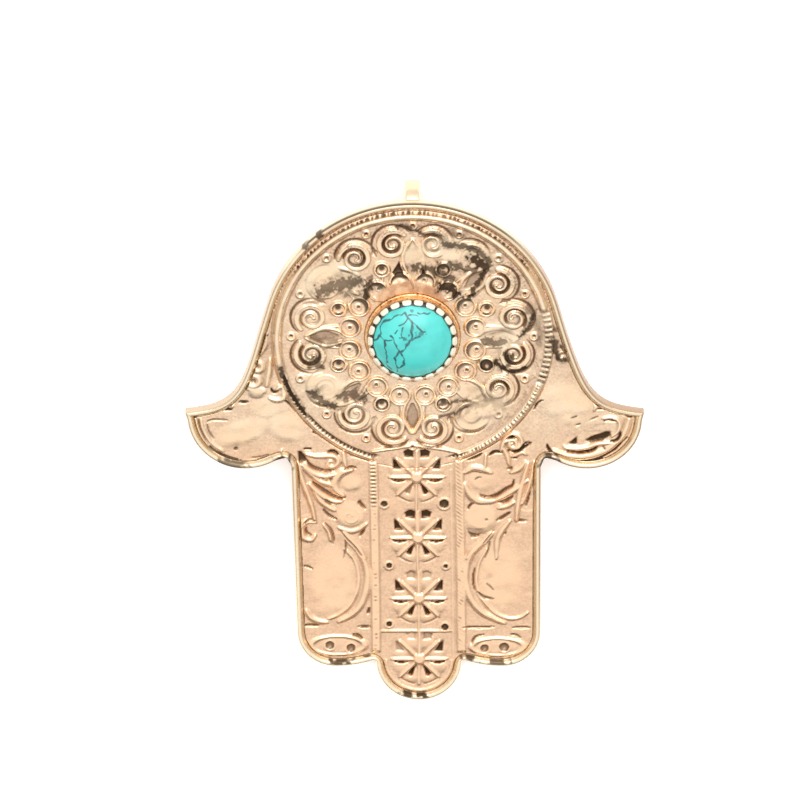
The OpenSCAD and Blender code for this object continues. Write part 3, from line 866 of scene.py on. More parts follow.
# Grooves beside them, the same way.
GROOVES = (
    (0.34, 0.32, (-128, -163, -122, -171, -113, -176, -104, -178, -93, -176)),
    (0.34, 0.3, (-102, -153, -95, -152, -89, -157)),
    (0.26, 0.22, (-82, -176, -74, -173, -67, -175)),
    (0.24, 0.16, (-111, -186, -104, -189, -96, -188)),
    (0.34, 0.32, (-120, -193, -110, -201, -102, -207, -94, -212, -81, -214)),
    (0.36, 0.26, (-106, -215, -99, -220, -93, -221)),
    (0.3, 0.3, (-108, -229, -101, -237, -91, -243)),
    (0.3, 0.26, (-131, -248, -125, -243, -117, -244)),
    (0.26, 0.2, (-128, -253, -127, -260, -121, -264)),
    (0.26, 0.14, (-105, -248, -98, -257, -95, -268, -96, -277)),
    (0.24, 0.16, (-87, -257, -78, -269, -69, -279, -61, -291)),
    (0.24, 0.16, (-83, -294, -80, -279, -81, -271)),
    (0.3, 0.24, (66, -164, 76, -160, 84, -155)),
    (0.36, 0.3, (92, -158, 99, -153, 108, -154)),
    (0.24, 0.2, (74, -190, 79, -187, 83, -187)),
    (0.34, 0.32, (81, -210, 90, -213, 101, -210, 112, -202, 120, -197, 122, -190)),
    (0.34, 0.26, (103, -220, 112, -218, 121, -212)),
    (0.36, 0.3, (101, -244, 107, -241, 118, -233)),
    (0.3, 0.2, (119, -160, 126, -161)),
    (0.3, 0.22, (114, -176, 120, -174)),
    (0.34, 0.26, (115, -151, 123, -152, 132, -148, 142, -142)),
    (0.24, 0.22, (141, -207, 139, -217, 136, -226)),
    (0.26, 0.24, (66, -230, 69, -224, 75, -220)),
    (0.22, 0.14, (85, -275, 92, -265, 98, -257)),
    (0.24, 0.16, (87, -294, 91, -283, 93, -273)),
    (0.26, 0.16, (75, -308, 73, -323, 75, -337)),
    (0.3, 0.3, (-134, -384, -122, -384, -112, -384)),
    (0.3, 0.3, (-65, -386, -58, -386, -51, -386)),
    (0.26, 0.28, (62, -386, 80, -387, 98, -386)),
    (0.26, 0.26, (121, -387, 131, -387, 142, -387)),
    (0.36, 0.26, (-72, -396, -66, -397, -60, -402)),
    (0.24, 0.2, (71, -409, 75, -400, 87, -396)),
    (0.24, 0.2, (118, -396, 125, -397, 131, -401)),
    (0.26, 0.24, (89, -327, 98, -336)),
    (0.34, 0.28, (79, -339, 86, -346, 99, -348)),
    (0.26, 0.2, (-131, -305, -126, -306, -120, -309)),
    (0.3, 0.22, (-54, -369, -52, -361)),
    (0.3, 0.28, (-170, -69, -167, -74, -161, -73)),
    (0.28, 0.26, (-211, -75, -205, -71)),
    (0.34, 0.28, (-208, -87, -197, -87)),
    (0.36, 0.34, (-234, -97, -216, -97)),
    (0.34, 0.26, (-120, -127, -113, -129, -107, -134)),
    (0.26, 0.2, (-131, -149, -121, -149)),
    (0.3, 0.22, (-154, -85, -147, -90, -139, -100)),
    (0.28, 0.28, (-244, -144, -235, -153, -222, -160, -205, -165)),
    (0.24, 0.12, (-258, -109, -255, -121, -249, -135, -244, -144)),
    (0.24, 0.1, (-247, -114, -240, -111, -222, -111)),
    (0.24, 0.1, (-247, -116, -244, -127, -238, -136)),
    (0.26, 0.12, (-194, -161, -182, -160, -172, -156)),
    (0.3, 0.3, (206, -72, 211, -72, 215, -76, 219, -81)),
    (0.3, 0.34, (220, -97, 232, -96, 246, -98)),
    (0.26, 0.22, (229, -112, 236, -111, 245, -112)),
    (0.3, 0.34, (238, -139, 244, -137, 248, -133, 251, -126)),
    (0.32, 0.34, (185, -151, 192, -152, 201, -153, 211, -152, 217, -150, 223, -145)),
    (0.3, 0.34, (172, -158, 184, -163, 192, -165, 204, -165, 215, -164, 224, -161, 234, -155, 243, -149,
     251, -140, 258, -133)),
    (0.22, 0.14, (228, -146, 232, -149)),
    (0.24, 0.16, (190, -108, 198, -105)),
    (0.22, 0.14, (196, -118, 202, -116)),
    (0.24, 0.12, (213, -111, 223, -106)),
    (0.3, 0.28, (116, -152, 123, -151, 130, -148, 135, -142, 143, -141)),
    (0.24, 0.22, (146, -97, 149, -90, 153, -86, 158, -84)),
    (0.34, 0.34, (161, -143, 164, -150, 169, -156, 174, -159)),
    (0.26, 0.3, (115, 8, 121, 4, 128, 1)),
)
# Pits with straight sides: depth and corners, in tenths of a millimetre too.
PITS = (
    (0.4, (-138, -152, -134, -152, -128, -159, -126, -166, -137, -167)),
    (0.34, (-79, -153, -73, -157, -66, -160, -59, -160, -61, -161, -69, -161, -75, -159)),
    (0.02, (-140, -176, -136, -184, -131, -203, -121, -227, -119, -236, -134, -239, -136, -217)),
    (0.36, (-67, -220, -63, -217, -55, -228, -56, -231, -62, -226)),
    (0.34, (-65, -265, -62, -258, -55, -253, -58, -261, -63, -267)),
    (0.02, (145, -176, 148, -190, 147, -230, 138, -233, 129, -229, 134, -217, 142, -194)),
    (0.34, (125, -245, 129, -242, 138, -244, 138, -246, 129, -247)),
    (0.4, (65, -255, 69, -260, 78, -262, 84, -260, 80, -266, 71, -268, 67, -261)),
    (0.34, (-192, -51, -188, -49, -184, -54, -187, -52)),
    (0.02, (-168, -30, -163, -36, -158, -60, -168, -63, -170, -50)),
    (0.38, (206, -138, 215, -132, 224, -129, 232, -126, 238, -126, 238, -131, 234, -135, 228, -138,
     221, -139, 213, -141)),
    (0.36, (186, -142, 191, -138, 198, -132, 198, -143, 192, -144)),
    (0.36, (109, -139, 114, -132, 120, -129, 124, -133, 127, -140, 124, -136, 119, -135, 114, -136)),
)
# Painted dark reflections: width, strength and path, the same way.
DARK_REFLECTIONS = (
    (0.36, 0.9, (-19, 145, -9, 145, -1, 141)),
    (0.2, 0.85, (2, 140, 12, 136, 24, 138, 34, 134)),
    (0.36, 0.5, (46, 139, 51, 135, 66, 129)),
    (0.55, 0.85, (38, 123, 53, 120, 69, 117, 84, 109, 93, 95)),
    (0.95, 1.0, (74, 103, 82, 97, 87, 92)),
    (0.65, 0.85, (1, 92, 18, 89, 34, 82, 46, 77)),
    (0.6, 0.85, (32, 94, 48, 94, 62, 90, 74, 89)),
    (0.4, 0.95, (86, 85, 75, 63, 66, 49)),
    (0.8, 1.0, (35, 65, 45, 64, 52, 56)),
    (0.55, 0.95, (-57, 55, -54, 65, -46, 70)),
    (0.95, 0.8, (-110, 59, -96, 67, -82, 70, -68, 72)),
    (0.6, 0.6, (-84, 60, -70, 56, -60, 50)),
    (0.4, 0.4, (-129, 44, -116, 46)),
    (0.7, 0.6, (139, 37, 144, 30, 145, 23)),
    (0.34, 0.95, (144, 27, 140, 15, 130, 1)),
    (0.5, 0.45, (149, 19, 153, 6, 152, -10)),
    (0.3, 0.8, (171, 10, 178, 9)),
    (0.6, 0.9, (169, -7, 171, -13, 172, -20)),
    (0.34, 0.95, (171, -22, 175, -30, 180, -32, 189, -31)),
    (0.34, 0.9, (178, -13, 183, -19, 188, -24)),
    (0.6, 0.8, (86, -5, 98, -8, 111, -6)),
    (0.5, 0.85, (113, -22, 119, -29, 116, -36)),
    (0.5, 0.6, (82, -32, 91, -37, 100, -34)),
    (0.42, 1.0, (101, -35, 109, -44, 122, -47, 135, -41)),
    (0.7, 0.8, (-84, -79, -71, -76, -58, -81)),
    (0.6, 0.9, (-121, -74, -109, -86, -93, -93)),
    (0.34, 0.95, (-159, -39, -152, -60, -142, -80, -131, -96)),
    (0.25, 0.8, (33, -91, 51, -86, 71, -84)),
    (0.25, 0.8, (33, -106, 51, -101, 64, -93)),
    (0.7, 0.6, (-118, -4, -104, -7, -90, -7)),
    (0.6, 0.8, (-124, -36, -117, -30, -112, -38)),
    (1.1, 0.35, (64, -90, 86, -84, 104, -88)),
    (0.35, 0.6, (-62, 73, -51, 78)),
)
# Flat bosses: place, radius, height.
BOSSES = ((-7.5, -23.7, 1.75, 0.2), (8.2, -23.9, 2.05, 0.22))
# Ringed ovals on the fingertips: place and half sizes. Holes in them, dark with painted shade: place and
# size.
OVALS = ((-9.0, -41.0, 3.3, 1.25), (10.3, -41.2, 3.25, 1.15))
HOLES = ((-9.95, -41.0, 0.52), (-7.4, -41.35, 0.52), (8.7, -41.4, 0.5), (11.05, -41.25, 0.58))
# Small hollows darkened with painted shade: place and size.
DIMPLES = ((8.9, -24.25, 0.16), (11.1, -26.1, 0.2), (-21.2, -14.9, 0.24), (22.7, -6.0, 0.14),
           (20.4, -6.5, 0.18))
# Scrolls: centre, radius, start and turn. Curls: place, radius and size of the hollow, which has painted
# shade.
SCROLLS = (((12.2, -14.0), 1.35, 200, -560), ((17.9, -2.5), 0.7, 0, 300))
CURLS = ((-18.6, -4.0, 0.58, 0.2), (-19.1, -5.9, 0.72, 0.3))
# Places where the ornament is worn flat: centre, half sizes, turn, strength, depth of the dents.
SMOOTH = (
    ((-9.6, -32.6), (3.0, 5.0), 0, 0.9, 0.35), ((10.6, -32.0), (2.9, 5.0), 0, 0.9, 0.35),
    ((8.4, -19.0), (1.9, 1.5), 0, 0.75, 0.4), ((-7.4, -19.4), (1.4, 1.2), 0, 0.85, 0.4),
    ((-2.6, -22.5), (1.3, 1.2), 0, 0.3, 0.5), ((-20.3, -12.6), (3.9, 1.7), 20, 0.9, 0.4),
    ((-15.2, -11.9), (2.8, 1.9), -30, 0.9, 0.4), ((18.4, -8.9), (3.6, 2.6), -35, 0.9, 0.35),
    ((22.6, -11.0), (2.0, 0.7), 15, 0.4, 0.3), ((-17.2, -9.6), (2.4, 1.5), 0, 0.8, 0.4),
)


def spiral(centre, radius, start, turn, end=0.2, steps=40):
    """A path that turns round a centre while its radius goes to the end one."""
    return [np.array(centre) + polar(radius + (end - radius) * i / steps, start + turn * i / steps)
            for i in range(steps + 1)]


def hand_marks(relief):
    """The ornament of the side fingers, the thumbs and the shoulders."""
    for place in SMOOTH:
        relief.wear(*place)
    kept = relief.worn.copy()
    for x, y, radius, height in BOSSES:
        relief.dome((x, y), radius * 1.1, height, flat_top)
    relief.ridge(spiral((-7.5, -23.8), 1.15, 60, -420), 0.26, 0.27)
    for x, y, wide, high in OVALS:
        index, _ = relief.from_centre((x, y), wide + 0.5)
        r = np.hypot(*((relief.points[index] - (x, y)) / [wide, high]).T)
        lift(relief.up, 0.12 * flat_top(r), index)
        lift(relief.up, 0.26 * round_top(np.abs(r - 0.97) / 0.17), index)
    for x, y, size in HOLES:
        relief.ring((x, y), size + 0.1, 0.26, 0.2)
        relief.bowl((x, y), size, 0.36, 0.95, 0.0)
    for scroll in SCROLLS:
        relief.ridge(spiral(*scroll), 0.42, STROKE_H)
    for x, y, radius, hole in CURLS:
        relief.ring((x, y), radius, 0.5, 0.28)
        relief.bowl((x, y), hole, 0.15, 0.7, 0.2)
    # A dark spot of painted shade on the left shoulder.
    relief.spot((-17.4, 0.25), 0.2, 0.95)
    for width, height, path in RIDGES:
        relief.ridge(smooth(in_mm(path)), width, height)
    for width, depth, path in GROOVES:
        relief.groove(smooth(in_mm(path)), width, depth + 0.1)
    for depth, corners in PITS:
        relief.pit(in_mm(corners), depth + 0.06)
    for x, y, size in DIMPLES:
        relief.bowl((x, y), size, 0.2, 0.85, 0.1)
    relief.worn = np.where(relief.up > 0.2, 0.25 * kept, kept)


# Meshes.

class Build:
    """A mesh piece in the making: points in millimetres on the flat hand, faces, and named values
    at the points."""

    def __init__(self, *kinds):
        self.kinds = kinds
        self.points, self.faces, self.values = [], [], []
        self.count = 0

    def add(self, points, faces=None, **values):
        """Add points and the faces between them, with 0 for a value that isn't given; returns the
        points' numbers."""
        number = self.count + np.arange(len(points))
        self.count += len(points)
        self.points.append(points)
        self.values.append([np.broadcast_to(values.get(kind, 0.0), len(points)) for kind in self.kinds])
        if faces is not None:
            self.faces.append(number[faces])
        return number

    def piece(self, name):
        world = np.array(REST)
        co = np.vstack(self.points) @ world[:3, :3].T + world[:3, 3]
        loops = np.concatenate([faces.ravel() for faces in self.faces]).astype(np.int32)
        sizes = np.concatenate([np.full(len(faces), faces.shape[1]) for faces in self.faces])
        starts = np.concatenate([[0], np.cumsum(sizes)[:-1]]).astype(np.int32)
        mesh = bpy.data.meshes.new(name)
        mesh.vertices.add(len(co))
        mesh.vertices.foreach_set("co", co.astype(np.float32).ravel())
        mesh.loops.add(len(loops))
        mesh.loops.foreach_set("vertex_index", loops)
        mesh.polygons.add(len(sizes))
        mesh.polygons.foreach_set("loop_start", starts)
        mesh.update(calc_edges=True)
        mesh.validate()
        mesh.polygons.foreach_set("use_smooth", np.full(len(mesh.polygons), True))
        for kind, parts in zip(self.kinds, zip(*self.values)):
            attribute = mesh.attributes.new(kind, "FLOAT", "POINT")
            attribute.data.foreach_set("value", np.concatenate(parts).astype(np.float32))
        return link_object(name, mesh)


def link_object(name, data):
    obj = bpy.data.objects.new(name, data)
    bpy.context.scene.collection.objects.link(obj)
    return obj


def raised(flat, z):
    """Points of the plan with a height for all or each of them."""
    return np.column_stack([flat, np.broadcast_to(z, len(flat))])


def band_faces(ring_a, ring_b):
    """Quads between two closed rings of points."""
    return np.column_stack([ring_a, np.roll(ring_a, -1), np.roll(ring_b, -1), ring_b])


def tube(rings, facing=1):
    """Points and quads of a closed tube through rings of points, the last joined to the first."""
    number = np.arange(len(rings) * len(rings[0])).reshape(len(rings), -1)
    faces = [band_faces(*pair) for pair in zip(number, np.roll(number, -1, 0))]
    return np.vstack(rings), np.vstack(faces)[:, ::facing]


def fill(points, edges, keep, facing=1):
    """Triangles between fixed edges that face up (1) or down (-1), where keep allows their middles."""
    made = delaunay_2d_cdt([Vector(p) for p in points], [tuple(map(int, e)) for e in edges],
                           [], 0, 1e-7, True)
    first = np.array([source[0] if source else -1 for source in made[3]])
    triangles = np.array([[first[i] for i in face] for face in made[2] if len(face) == 3])
    triangles = triangles[(triangles >= 0).all(1)]
    corners = points[triangles]
    (ax, ay), (bx, by) = ((corners[:, k] - corners[:, 0]).T for k in (1, 2))
    flip = (ax * by - ay * bx) * facing < 0
    triangles[flip] = triangles[flip, ::-1]
    return triangles[keep(corners.mean(1))]


def loop_edges(first, count):
    """Edges of a closed loop of points that are numbered from the first."""
    index = np.arange(count)
    return np.column_stack([first + index, first + (index + 1) % count])


def blurred(grid, sigma):
    """A grid of numbers, each averaged over its neighbours."""
    reach = int(3 * sigma) + 1
    out = grid
    for _ in range(2):
        padded = np.pad(out, [(reach, reach), (0, 0)], mode="edge")
        total = np.zeros_like(out)
        for k, weight in enumerate(bell(reach, sigma)):
            total += weight * padded[k:k + len(out)]
        out = total.T
    return out


def recess(height, sigma):
    """How far each point lies below its surroundings, from 0 to 1."""
    return np.clip((blurred(height, sigma) - height) / RECESS_DEPTH, 0, 1)


def medallion():
    """The medallion: circles of points from the setting's seat out to its edge, with the pattern."""
    share = np.linspace(0, 1, MEDAL_ROWS)[:, None]
    angle = np.radians(np.arange(MEDAL_COLUMNS) * 360 / MEDAL_COLUMNS)[None, :]
    reach = (1 - share) * SEAT_R + share * MEDAL_R
    x, y = reach * np.cos(angle), reach * np.sin(angle) - share * DOME_SINK
    relief = Relief(np.column_stack([x.ravel(), y.ravel()]))
    medallion_pattern(relief)
    edge_patterns(relief)
    rosette(relief, 0)
    relief.ridge(smooth(FOOT_BAND), 0.4, STROKE_H)
    patch = wear_medallion(relief)
    height = np.maximum(relief.height(), -MEDAL_DEEPEST)
    wrapped = height.reshape(x.shape)
    around = np.hstack([wrapped[:, -WRAP:], wrapped, wrapped[:, :WRAP]])
    # Painted shade in the recesses, less in the bowls, which carry their own.
    dark = recess(around, MEDAL_BLUR)[:, WRAP:-WRAP].ravel() * (1 - 0.85 * relief.plain)
    fall = MEDAL_FALL * ease(about_dome(relief.points)[0], MEDAL_R - 0.12, MEDAL_R)
    top = raised(relief.points, FIELD_Z + height - fall).reshape(MEDAL_ROWS, MEDAL_COLUMNS, 3)
    floors = [raised(top[k, :, :2], MEDAL_FLOOR) for k in (-1, 0)]
    points, faces = tube([*top, *floors], -1)
    pad = np.zeros(2 * MEDAL_COLUMNS)
    values = {"recess": dark, "stain": relief.stain, "ground": relief.ground() * (1 - patch),
              "warm": patch, "shade": relief.shade}
    build = Build(*values)
    build.add(points, faces, **{kind: np.concatenate([value, pad]) for kind, value in values.items()})
    return build.piece("medallion")


# The rim's section, from the back over the edge to the field: distance inwards, and height.
EDGE_PROFILE = ((0.0, 0.14), (0.0, 0.7), (0.0, 1.28), (0.025, 1.41), (0.08, 1.51), (0.17, 1.575),
                (0.27, 1.6), (0.38, 1.6), (0.47, 1.58), (0.55, 1.53), (0.63, 1.43), (0.7, 1.31),
                (0.78, 1.21), (0.88, 1.15))
BACK_PROFILE = ((0.04, 0.04), (0.14, 0.0))
# Painted dark reflections on the rim's outer edge: middle, half length, strength.
EDGE_DARK = ((-8.7, -43.1, 1.5, 0.97), (-5.4, -41.8, 0.9, 0.95), (-0.6, -47.3, 0.85, 1.0),
             (1.2, -47.4, 1.0, 1.0), (6.7, -41.9, 1.2, 0.97), (10.3, -43.3, 1.5, 0.9),
             (-15.5, -16.6, 1.2, 1.0), (16.4, -16.5, 1.5, 0.97), (-21.6, -16.9, 2.0, 0.8),
             (-11.2, 13.6, 0.6, 0.95), (-12.9, 12.0, 0.5, 0.85))


def rim_shades(loop, inwards, z):
    """Painted shade, dark reflections and the pale painted highlight of the rim's points at one distance
    inwards.
    """
    x, y = loop.T
    _, angle = about_dome(loop)
    # The top of the rim gets painted shade instead of the pale highlight, and a painted dark line along its
    # outer wall and over a short arc.
    over = (1 - ease(angle, 122, 150)) * ease(angle, 28, 55) * (y > 0)
    dent = ease(angle, 124, 126) * (1 - ease(angle, 134, 137))
    line = np.maximum(over, dent) * (0.9 if 1.2 < z < 1.55 and inwards < 0.1 else 0)
    band = over * (inwards > 0.12)
    edge = np.zeros(len(loop))
    if inwards < 0.85 and z > 0.6:
        for px, py, half, strength in EDGE_DARK:
            gap = np.hypot(x - px, y - py) / half + 0.25 * BLOTS.at(loop)
            lift(edge, strength * (1 - ease(gap, 0.6, 1.0)))
        edge *= np.maximum(ease(y, -30, -25), ease(inwards, 0.2, 0.3))
    # Painted shade at the inner foot and on the inner slope, and on the outer walls at the sides.
    ends, top = ease(y, -42, -37), ease(y, -4, 0)
    foot = 0.15 * ends * (1 - top) * (ease(1.45 - z, 0, 0.2) * (inwards > 0.5))
    shade = (0.05 + 0.1 * ends + 0.15 * top) * ease(inwards, 0.34, 0.46)
    right = ease(angle, -75, -60) * (1 - ease(angle, 28, 55))
    left = np.maximum(ease(angle, 140, 155), 1 - ease(angle, -125, -110))
    shade += np.maximum(0.85 * right, 0.55 * left) * (1 - ease(inwards, 0.2, 0.3))
    return {"stain": np.maximum(line, edge), "recess": np.maximum(0.55 * band, foot),
            "pale": 1 - band, "shade": shade}


class Grid:
    """Points at even steps over the hand. Those in use stand on the field, clear of its edges."""

    def __init__(self, outline, inner):
        self.low = outline.min(0) - GRID_STEP
        self.columns, self.rows = np.ceil((outline.max(0) + GRID_STEP - self.low) / GRID_STEP).astype(int)
        x, y = np.meshgrid(*(low + GRID_STEP * np.arange(count)
                             for low, count in zip(self.low, (self.columns, self.rows))))
        self.nodes = np.column_stack([x.ravel(), y.ravel()])
        self.close = self.edge_distance(resampled(inner, 0.05))
        clear = GRID_CLEAR * GRID_STEP
        self.used = (self.close > clear) & (about_dome(self.nodes)[0] > HOLE_R + clear)
        self.used[self.used] = inside_loop(self.nodes[self.used], resampled(inner, 0.4))

    def edge_distance(self, dense):
        """Each point's distance to a dense loop, or FAR_OFF where it is over two steps away."""
        close = np.full(len(self.nodes), FAR_OFF)
        cell = np.round((dense - self.low) / GRID_STEP).astype(int)
        for across in range(-2, 3):
            for up in range(-2, 3):
                index = (cell[:, 1] + up) * self.columns + cell[:, 0] + across
                np.minimum.at(close, index, np.hypot(*(self.nodes[index] - dense).T))
        return close

    def quads(self):
        """Quads between the points in use, and a test for places that no quad covers."""
        kept = self.used.reshape(self.rows, self.columns)
        cells = kept[:-1, :-1] & kept[1:, :-1] & kept[:-1, 1:] & kept[1:, 1:]
        j, i = np.nonzero(cells)
        corner = j * self.columns + i
        quads = np.column_stack([corner, corner + 1, corner + self.columns + 1, corner + self.columns])

        def free(places):
            at = np.floor((places - self.low) / GRID_STEP).astype(int)
            return ~cells[np.clip(at[:, 1], 0, self.rows - 2), np.clip(at[:, 0], 0, self.columns - 2)]

        return quads, free


def field_values(grid):
    """Height over the field and other values of the grid's points in use."""
    relief = Relief(grid.nodes[grid.used])
    hand_marks(relief)
    middle_finger(relief)
    edge_patterns(relief)
    reflections_and_shade(relief)
    x, y = relief.points.T
    full = np.zeros(len(grid.nodes))
    step = 1 - ease(about_dome(relief.points)[0], *HOLE_SLOPE)
    full[grid.used] = height = np.maximum(relief.height(), -HAND_DEEPEST) - HOLE_STEP * step
    side_finger = ease(-y, 15, 18) * ease(np.abs(x - 0.4), 5.0, 5.6)
    by_edge = 1 - ease(np.sqrt(grid.close[grid.used]), 0.2, 0.5)
    # Painted shade in the recesses, less in the bowls, near the top, by the edges and on the side fingers.
    dark = recess(full.reshape(grid.rows, grid.columns), HAND_BLUR).ravel()[grid.used]
    dark *= (1 - 0.85 * relief.plain) * (1 - 0.7 * np.maximum(ease(y, -4, 0), by_edge))
    dark *= 1 - 0.3 * side_finger
    return height, {"recess": dark, "ground": relief.ground(), "shade": relief.shade,
                    "stain": relief.stain * (1 - 0.25 * side_finger)}


def hand():
    """The hand without its medallion: a grid with the relief, a rim of rings round it, a seam of
    triangles between them, the medallion's round hole, and the back."""
    outline = hand_outline()
    loops = inward_loops(outline, [d for d, _ in EDGE_PROFILE])
    back_loops = inward_loops(outline, [d for d, _ in BACK_PROFILE])
    inner = loops[-1]
    hole = np.array(arc(DOME_C, HOLE_R, 0, 360, HOLE_STEPS)[:-1])
    grid = Grid(outline, inner)
    quads, free = grid.quads()
    height, values = field_values(grid)

    build = Build("recess", "ground", "warm", "stain", "pale", "shade")
    order = np.full(len(grid.nodes), -1)
    order[grid.used] = build.add(raised(grid.nodes[grid.used], FIELD_Z + height), **values)
    build.faces.append(order[quads])
    rings = []
    for loop, (inwards, z) in list(zip(loops, EDGE_PROFILE))[::-1]:
        shades = rim_shades(loop, inwards, z)
        rings.append(build.add(raised(loop, z), ground=float(len(rings) < 2), **shades))
    for loop, (_, z) in zip(back_loops, BACK_PROFILE):
        rings.append(build.add(raised(loop, z), ground=0.5))
    build.faces += [band_faces(*pair) for pair in zip(rings, rings[1:])]
    # The round hole's wall, under the medallion's edge, is fully dark with painted shade.
    wall = [build.add(raised(hole, z), recess=1.0) for z in (FIELD_Z - HOLE_STEP, HOLE_FLOOR)]
    build.faces.append(band_faces(*wall)[:, ::-1])

    sides = np.sort(np.concatenate([quads[:, [k, (k + 1) % 4]] for k in range(4)]), 1)
    sides, count = np.unique(sides, axis=0, return_counts=True)
    stair = sides[count == 1]
    lone = grid.used.copy()
    lone[quads.ravel()] = False
    border = np.unique(np.concatenate([stair.ravel(), np.flatnonzero(lone)]))
    flat = np.vstack([grid.nodes[border], inner, hole])
    fixed = np.vstack([np.searchsorted(border, stair), loop_edges(len(border), len(inner)),
                       loop_edges(len(border) + len(inner), len(hole))])
    number = np.concatenate([order[border], rings[0], wall[0]])
    build.faces.append(number[fill(flat, fixed, lambda middles: (
        free(middles) & inside_loop(middles, inner)
        & (about_dome(middles)[0] > HOLE_R * cos(180 / HOLE_STEPS))))])

    for loop, ring, z, facing, step in ((hole, wall[1], HOLE_FLOOR, 1, HOLE_SPREAD),
                                        (back_loops[-1], rings[-1], 0.0, -1, BACK_SPREAD)):
        spread = scattered(loop, step)
        inside = fill(np.vstack([loop, spread]), loop_edges(0, len(loop)),
                      lambda middles: inside_loop(middles, loop), facing)
        number = np.concatenate([ring, build.add(raised(spread, z), ground=0.5)])
        build.faces.append(number[inside])
    return build.piece("hand")


def scattered(loop, step):
    """Even points inside a loop, clear of it."""
    low, high = loop.min(0), loop.max(0)
    x, y = np.meshgrid(np.arange(low[0], high[0], step), np.arange(low[1], high[1], step))
    points = np.column_stack([x.ravel(), y.ravel()])
    points = points[inside_loop(points, loop)]
    gap = np.array([np.hypot(*(loop - p).T).min() for p in points])
    return points[gap > 0.5 * step]


def bail():
    """A round band behind the top edge, with soft edges and a plain hole."""
    half = BAIL_W / 2
    section = []
    for side, radius, size, start in ((1, BAIL_R - BAIL_SOFT, BAIL_SOFT, 0),
                                      (-1, BAIL_R - BAIL_SOFT, BAIL_SOFT, 90),
                                      (-1, BAIL_HOLE_R + HOLE_SOFT, HOLE_SOFT, 180),
                                      (1, BAIL_HOLE_R + HOLE_SOFT, HOLE_SOFT, 270)):
        section += arc([side * (half - size), radius], size, start, start + 90, 4)
    x, r = np.array(section).T
    turns = 2 * math.pi * np.arange(BAIL_STEPS) / BAIL_STEPS
    points, faces = tube([np.column_stack([x, BAIL_Y + r * math.cos(turn), BAIL_Z + r * math.sin(turn)])
                          for turn in turns])
    build = Build("recess", "ground", "warm", "stain")
    build.add(points, faces, ground=0.1)
    return build.piece("bail")


def lathe(profile, steps):
    """Points and quads of a closed profile turned round the stone's axis."""
    r, z = np.array(profile, float).T
    turns = [2 * math.pi * k / steps for k in range(steps)]
    return tube([np.column_stack([r * math.cos(turn), r * math.sin(turn), z]) for turn in turns], -1)


def dome_z(r):
    """Height of the stone's top at a distance from its axis."""
    return BALL_Z + np.sqrt(BALL_R ** 2 - np.asarray(r, float) ** 2)


def rounded_block(steps, power):
    """A block from -1 to 1 with soft corners: points and quads."""
    axis = np.linspace(-1, 1, steps + 1)
    u, v = (part.ravel() for part in np.meshgrid(axis, axis))
    j, i = (part.ravel() for part in np.meshgrid(np.arange(steps), np.arange(steps), indexing="ij"))
    corner = j * (steps + 1) + i
    quads = np.column_stack([corner, corner + 1, corner + steps + 2, corner + steps + 1])
    points, faces = [], []
    for normal in range(3):
        for sign in (-1, 1):
            face = np.zeros((len(u), 3))
            face[:, normal], face[:, (normal + 1) % 3], face[:, (normal + 2) % 3] = sign, u, v
            faces.append((quads + len(points) * len(u))[:, ::sign])
            points.append(face / ((np.abs(face) ** power).sum(1) ** (1 / power))[:, None])
    points = np.vstack(points)
    _, first, same = np.unique(np.round(points, 6), axis=0, return_index=True, return_inverse=True)
    return points[first], same.ravel()[np.vstack(faces)]


def cup_profile():
    """The cup's section: foot, wall and floor."""
    foot_top = FIELD_Z + FOOT_H
    bead = FOOT_BEAD
    return [(AXIS_R, CUP_Z), (FOOT_R - 0.05, CUP_Z), (FOOT_R, CUP_Z + 0.05), (FOOT_R, foot_top - bead),
            *((FOOT_R - bead + bead * cos(a), foot_top - bead + bead * sin(a)) for a in range(20, 146, 25)),
            (CUP_OUT - 0.1, foot_top - 0.1), (CUP_OUT - 0.06, foot_top), (CUP_OUT - 0.05, WALL_TOP - 0.1),
            (CUP_OUT - 0.12, WALL_TOP), (CUP_IN + 0.05, WALL_TOP), (CUP_IN, WALL_TOP - 0.05),
            (CUP_IN, CUP_Z + FLOOR_T), (AXIS_R, CUP_Z + FLOOR_T)]


def setting():
    """The cup with its foot, and a ring of rounded teeth bent in over the stone."""
    build = Build("warm", "tooth", "gap")
    profile = cup_profile()
    points, faces = lathe(profile, CUP_STEPS)
    # Painted shade for the wall's top between the teeth, stronger towards the top.
    by_top = np.tile([float(abs(z - WALL_TOP) < 0.06) for _, z in profile], CUP_STEPS)
    build.add(points, faces, warm=1.0, gap=by_top * (0.4 + 0.6 * ease(points[:, 1], -2, 2)))

    block, block_faces = rounded_block(8, 3.6)
    lip = STONE_R - TOOTH_REACH / 2
    tip = np.array([lip + 0.08, float(dome_z(lip)) + STONE_GAP + TOOTH_T])
    heel = np.array([CUP_OUT - 0.3, GIRDLE_Z + 0.1])
    along = tip - heel
    length = np.hypot(*along)
    along /= length
    across = np.array([-along[1], along[0]])
    run = block[:, 0:1] * (length / 2 + 0.08)
    rise = block[:, 2:3] * TOOTH_T
    plan = (heel + tip) / 2 + run * along + rise * across * np.sign(across[1])
    r, z = plan.T
    for k in range(TEETH):
        size = 1 + rng.uniform(-0.06, 0.06)
        angle = 360 * k / TEETH + rng.uniform(-0.6, 0.6)
        side = block[:, 1] * ((math.pi * r / TEETH - TOOTH_GAP / 2) * size)
        c, s = cos(angle), sin(angle)
        tooth = np.column_stack([r * c - side * s, r * s + side * c, z])
        build.add(tooth, block_faces, warm=0.15, tooth=1.0)
    return build.piece("setting")


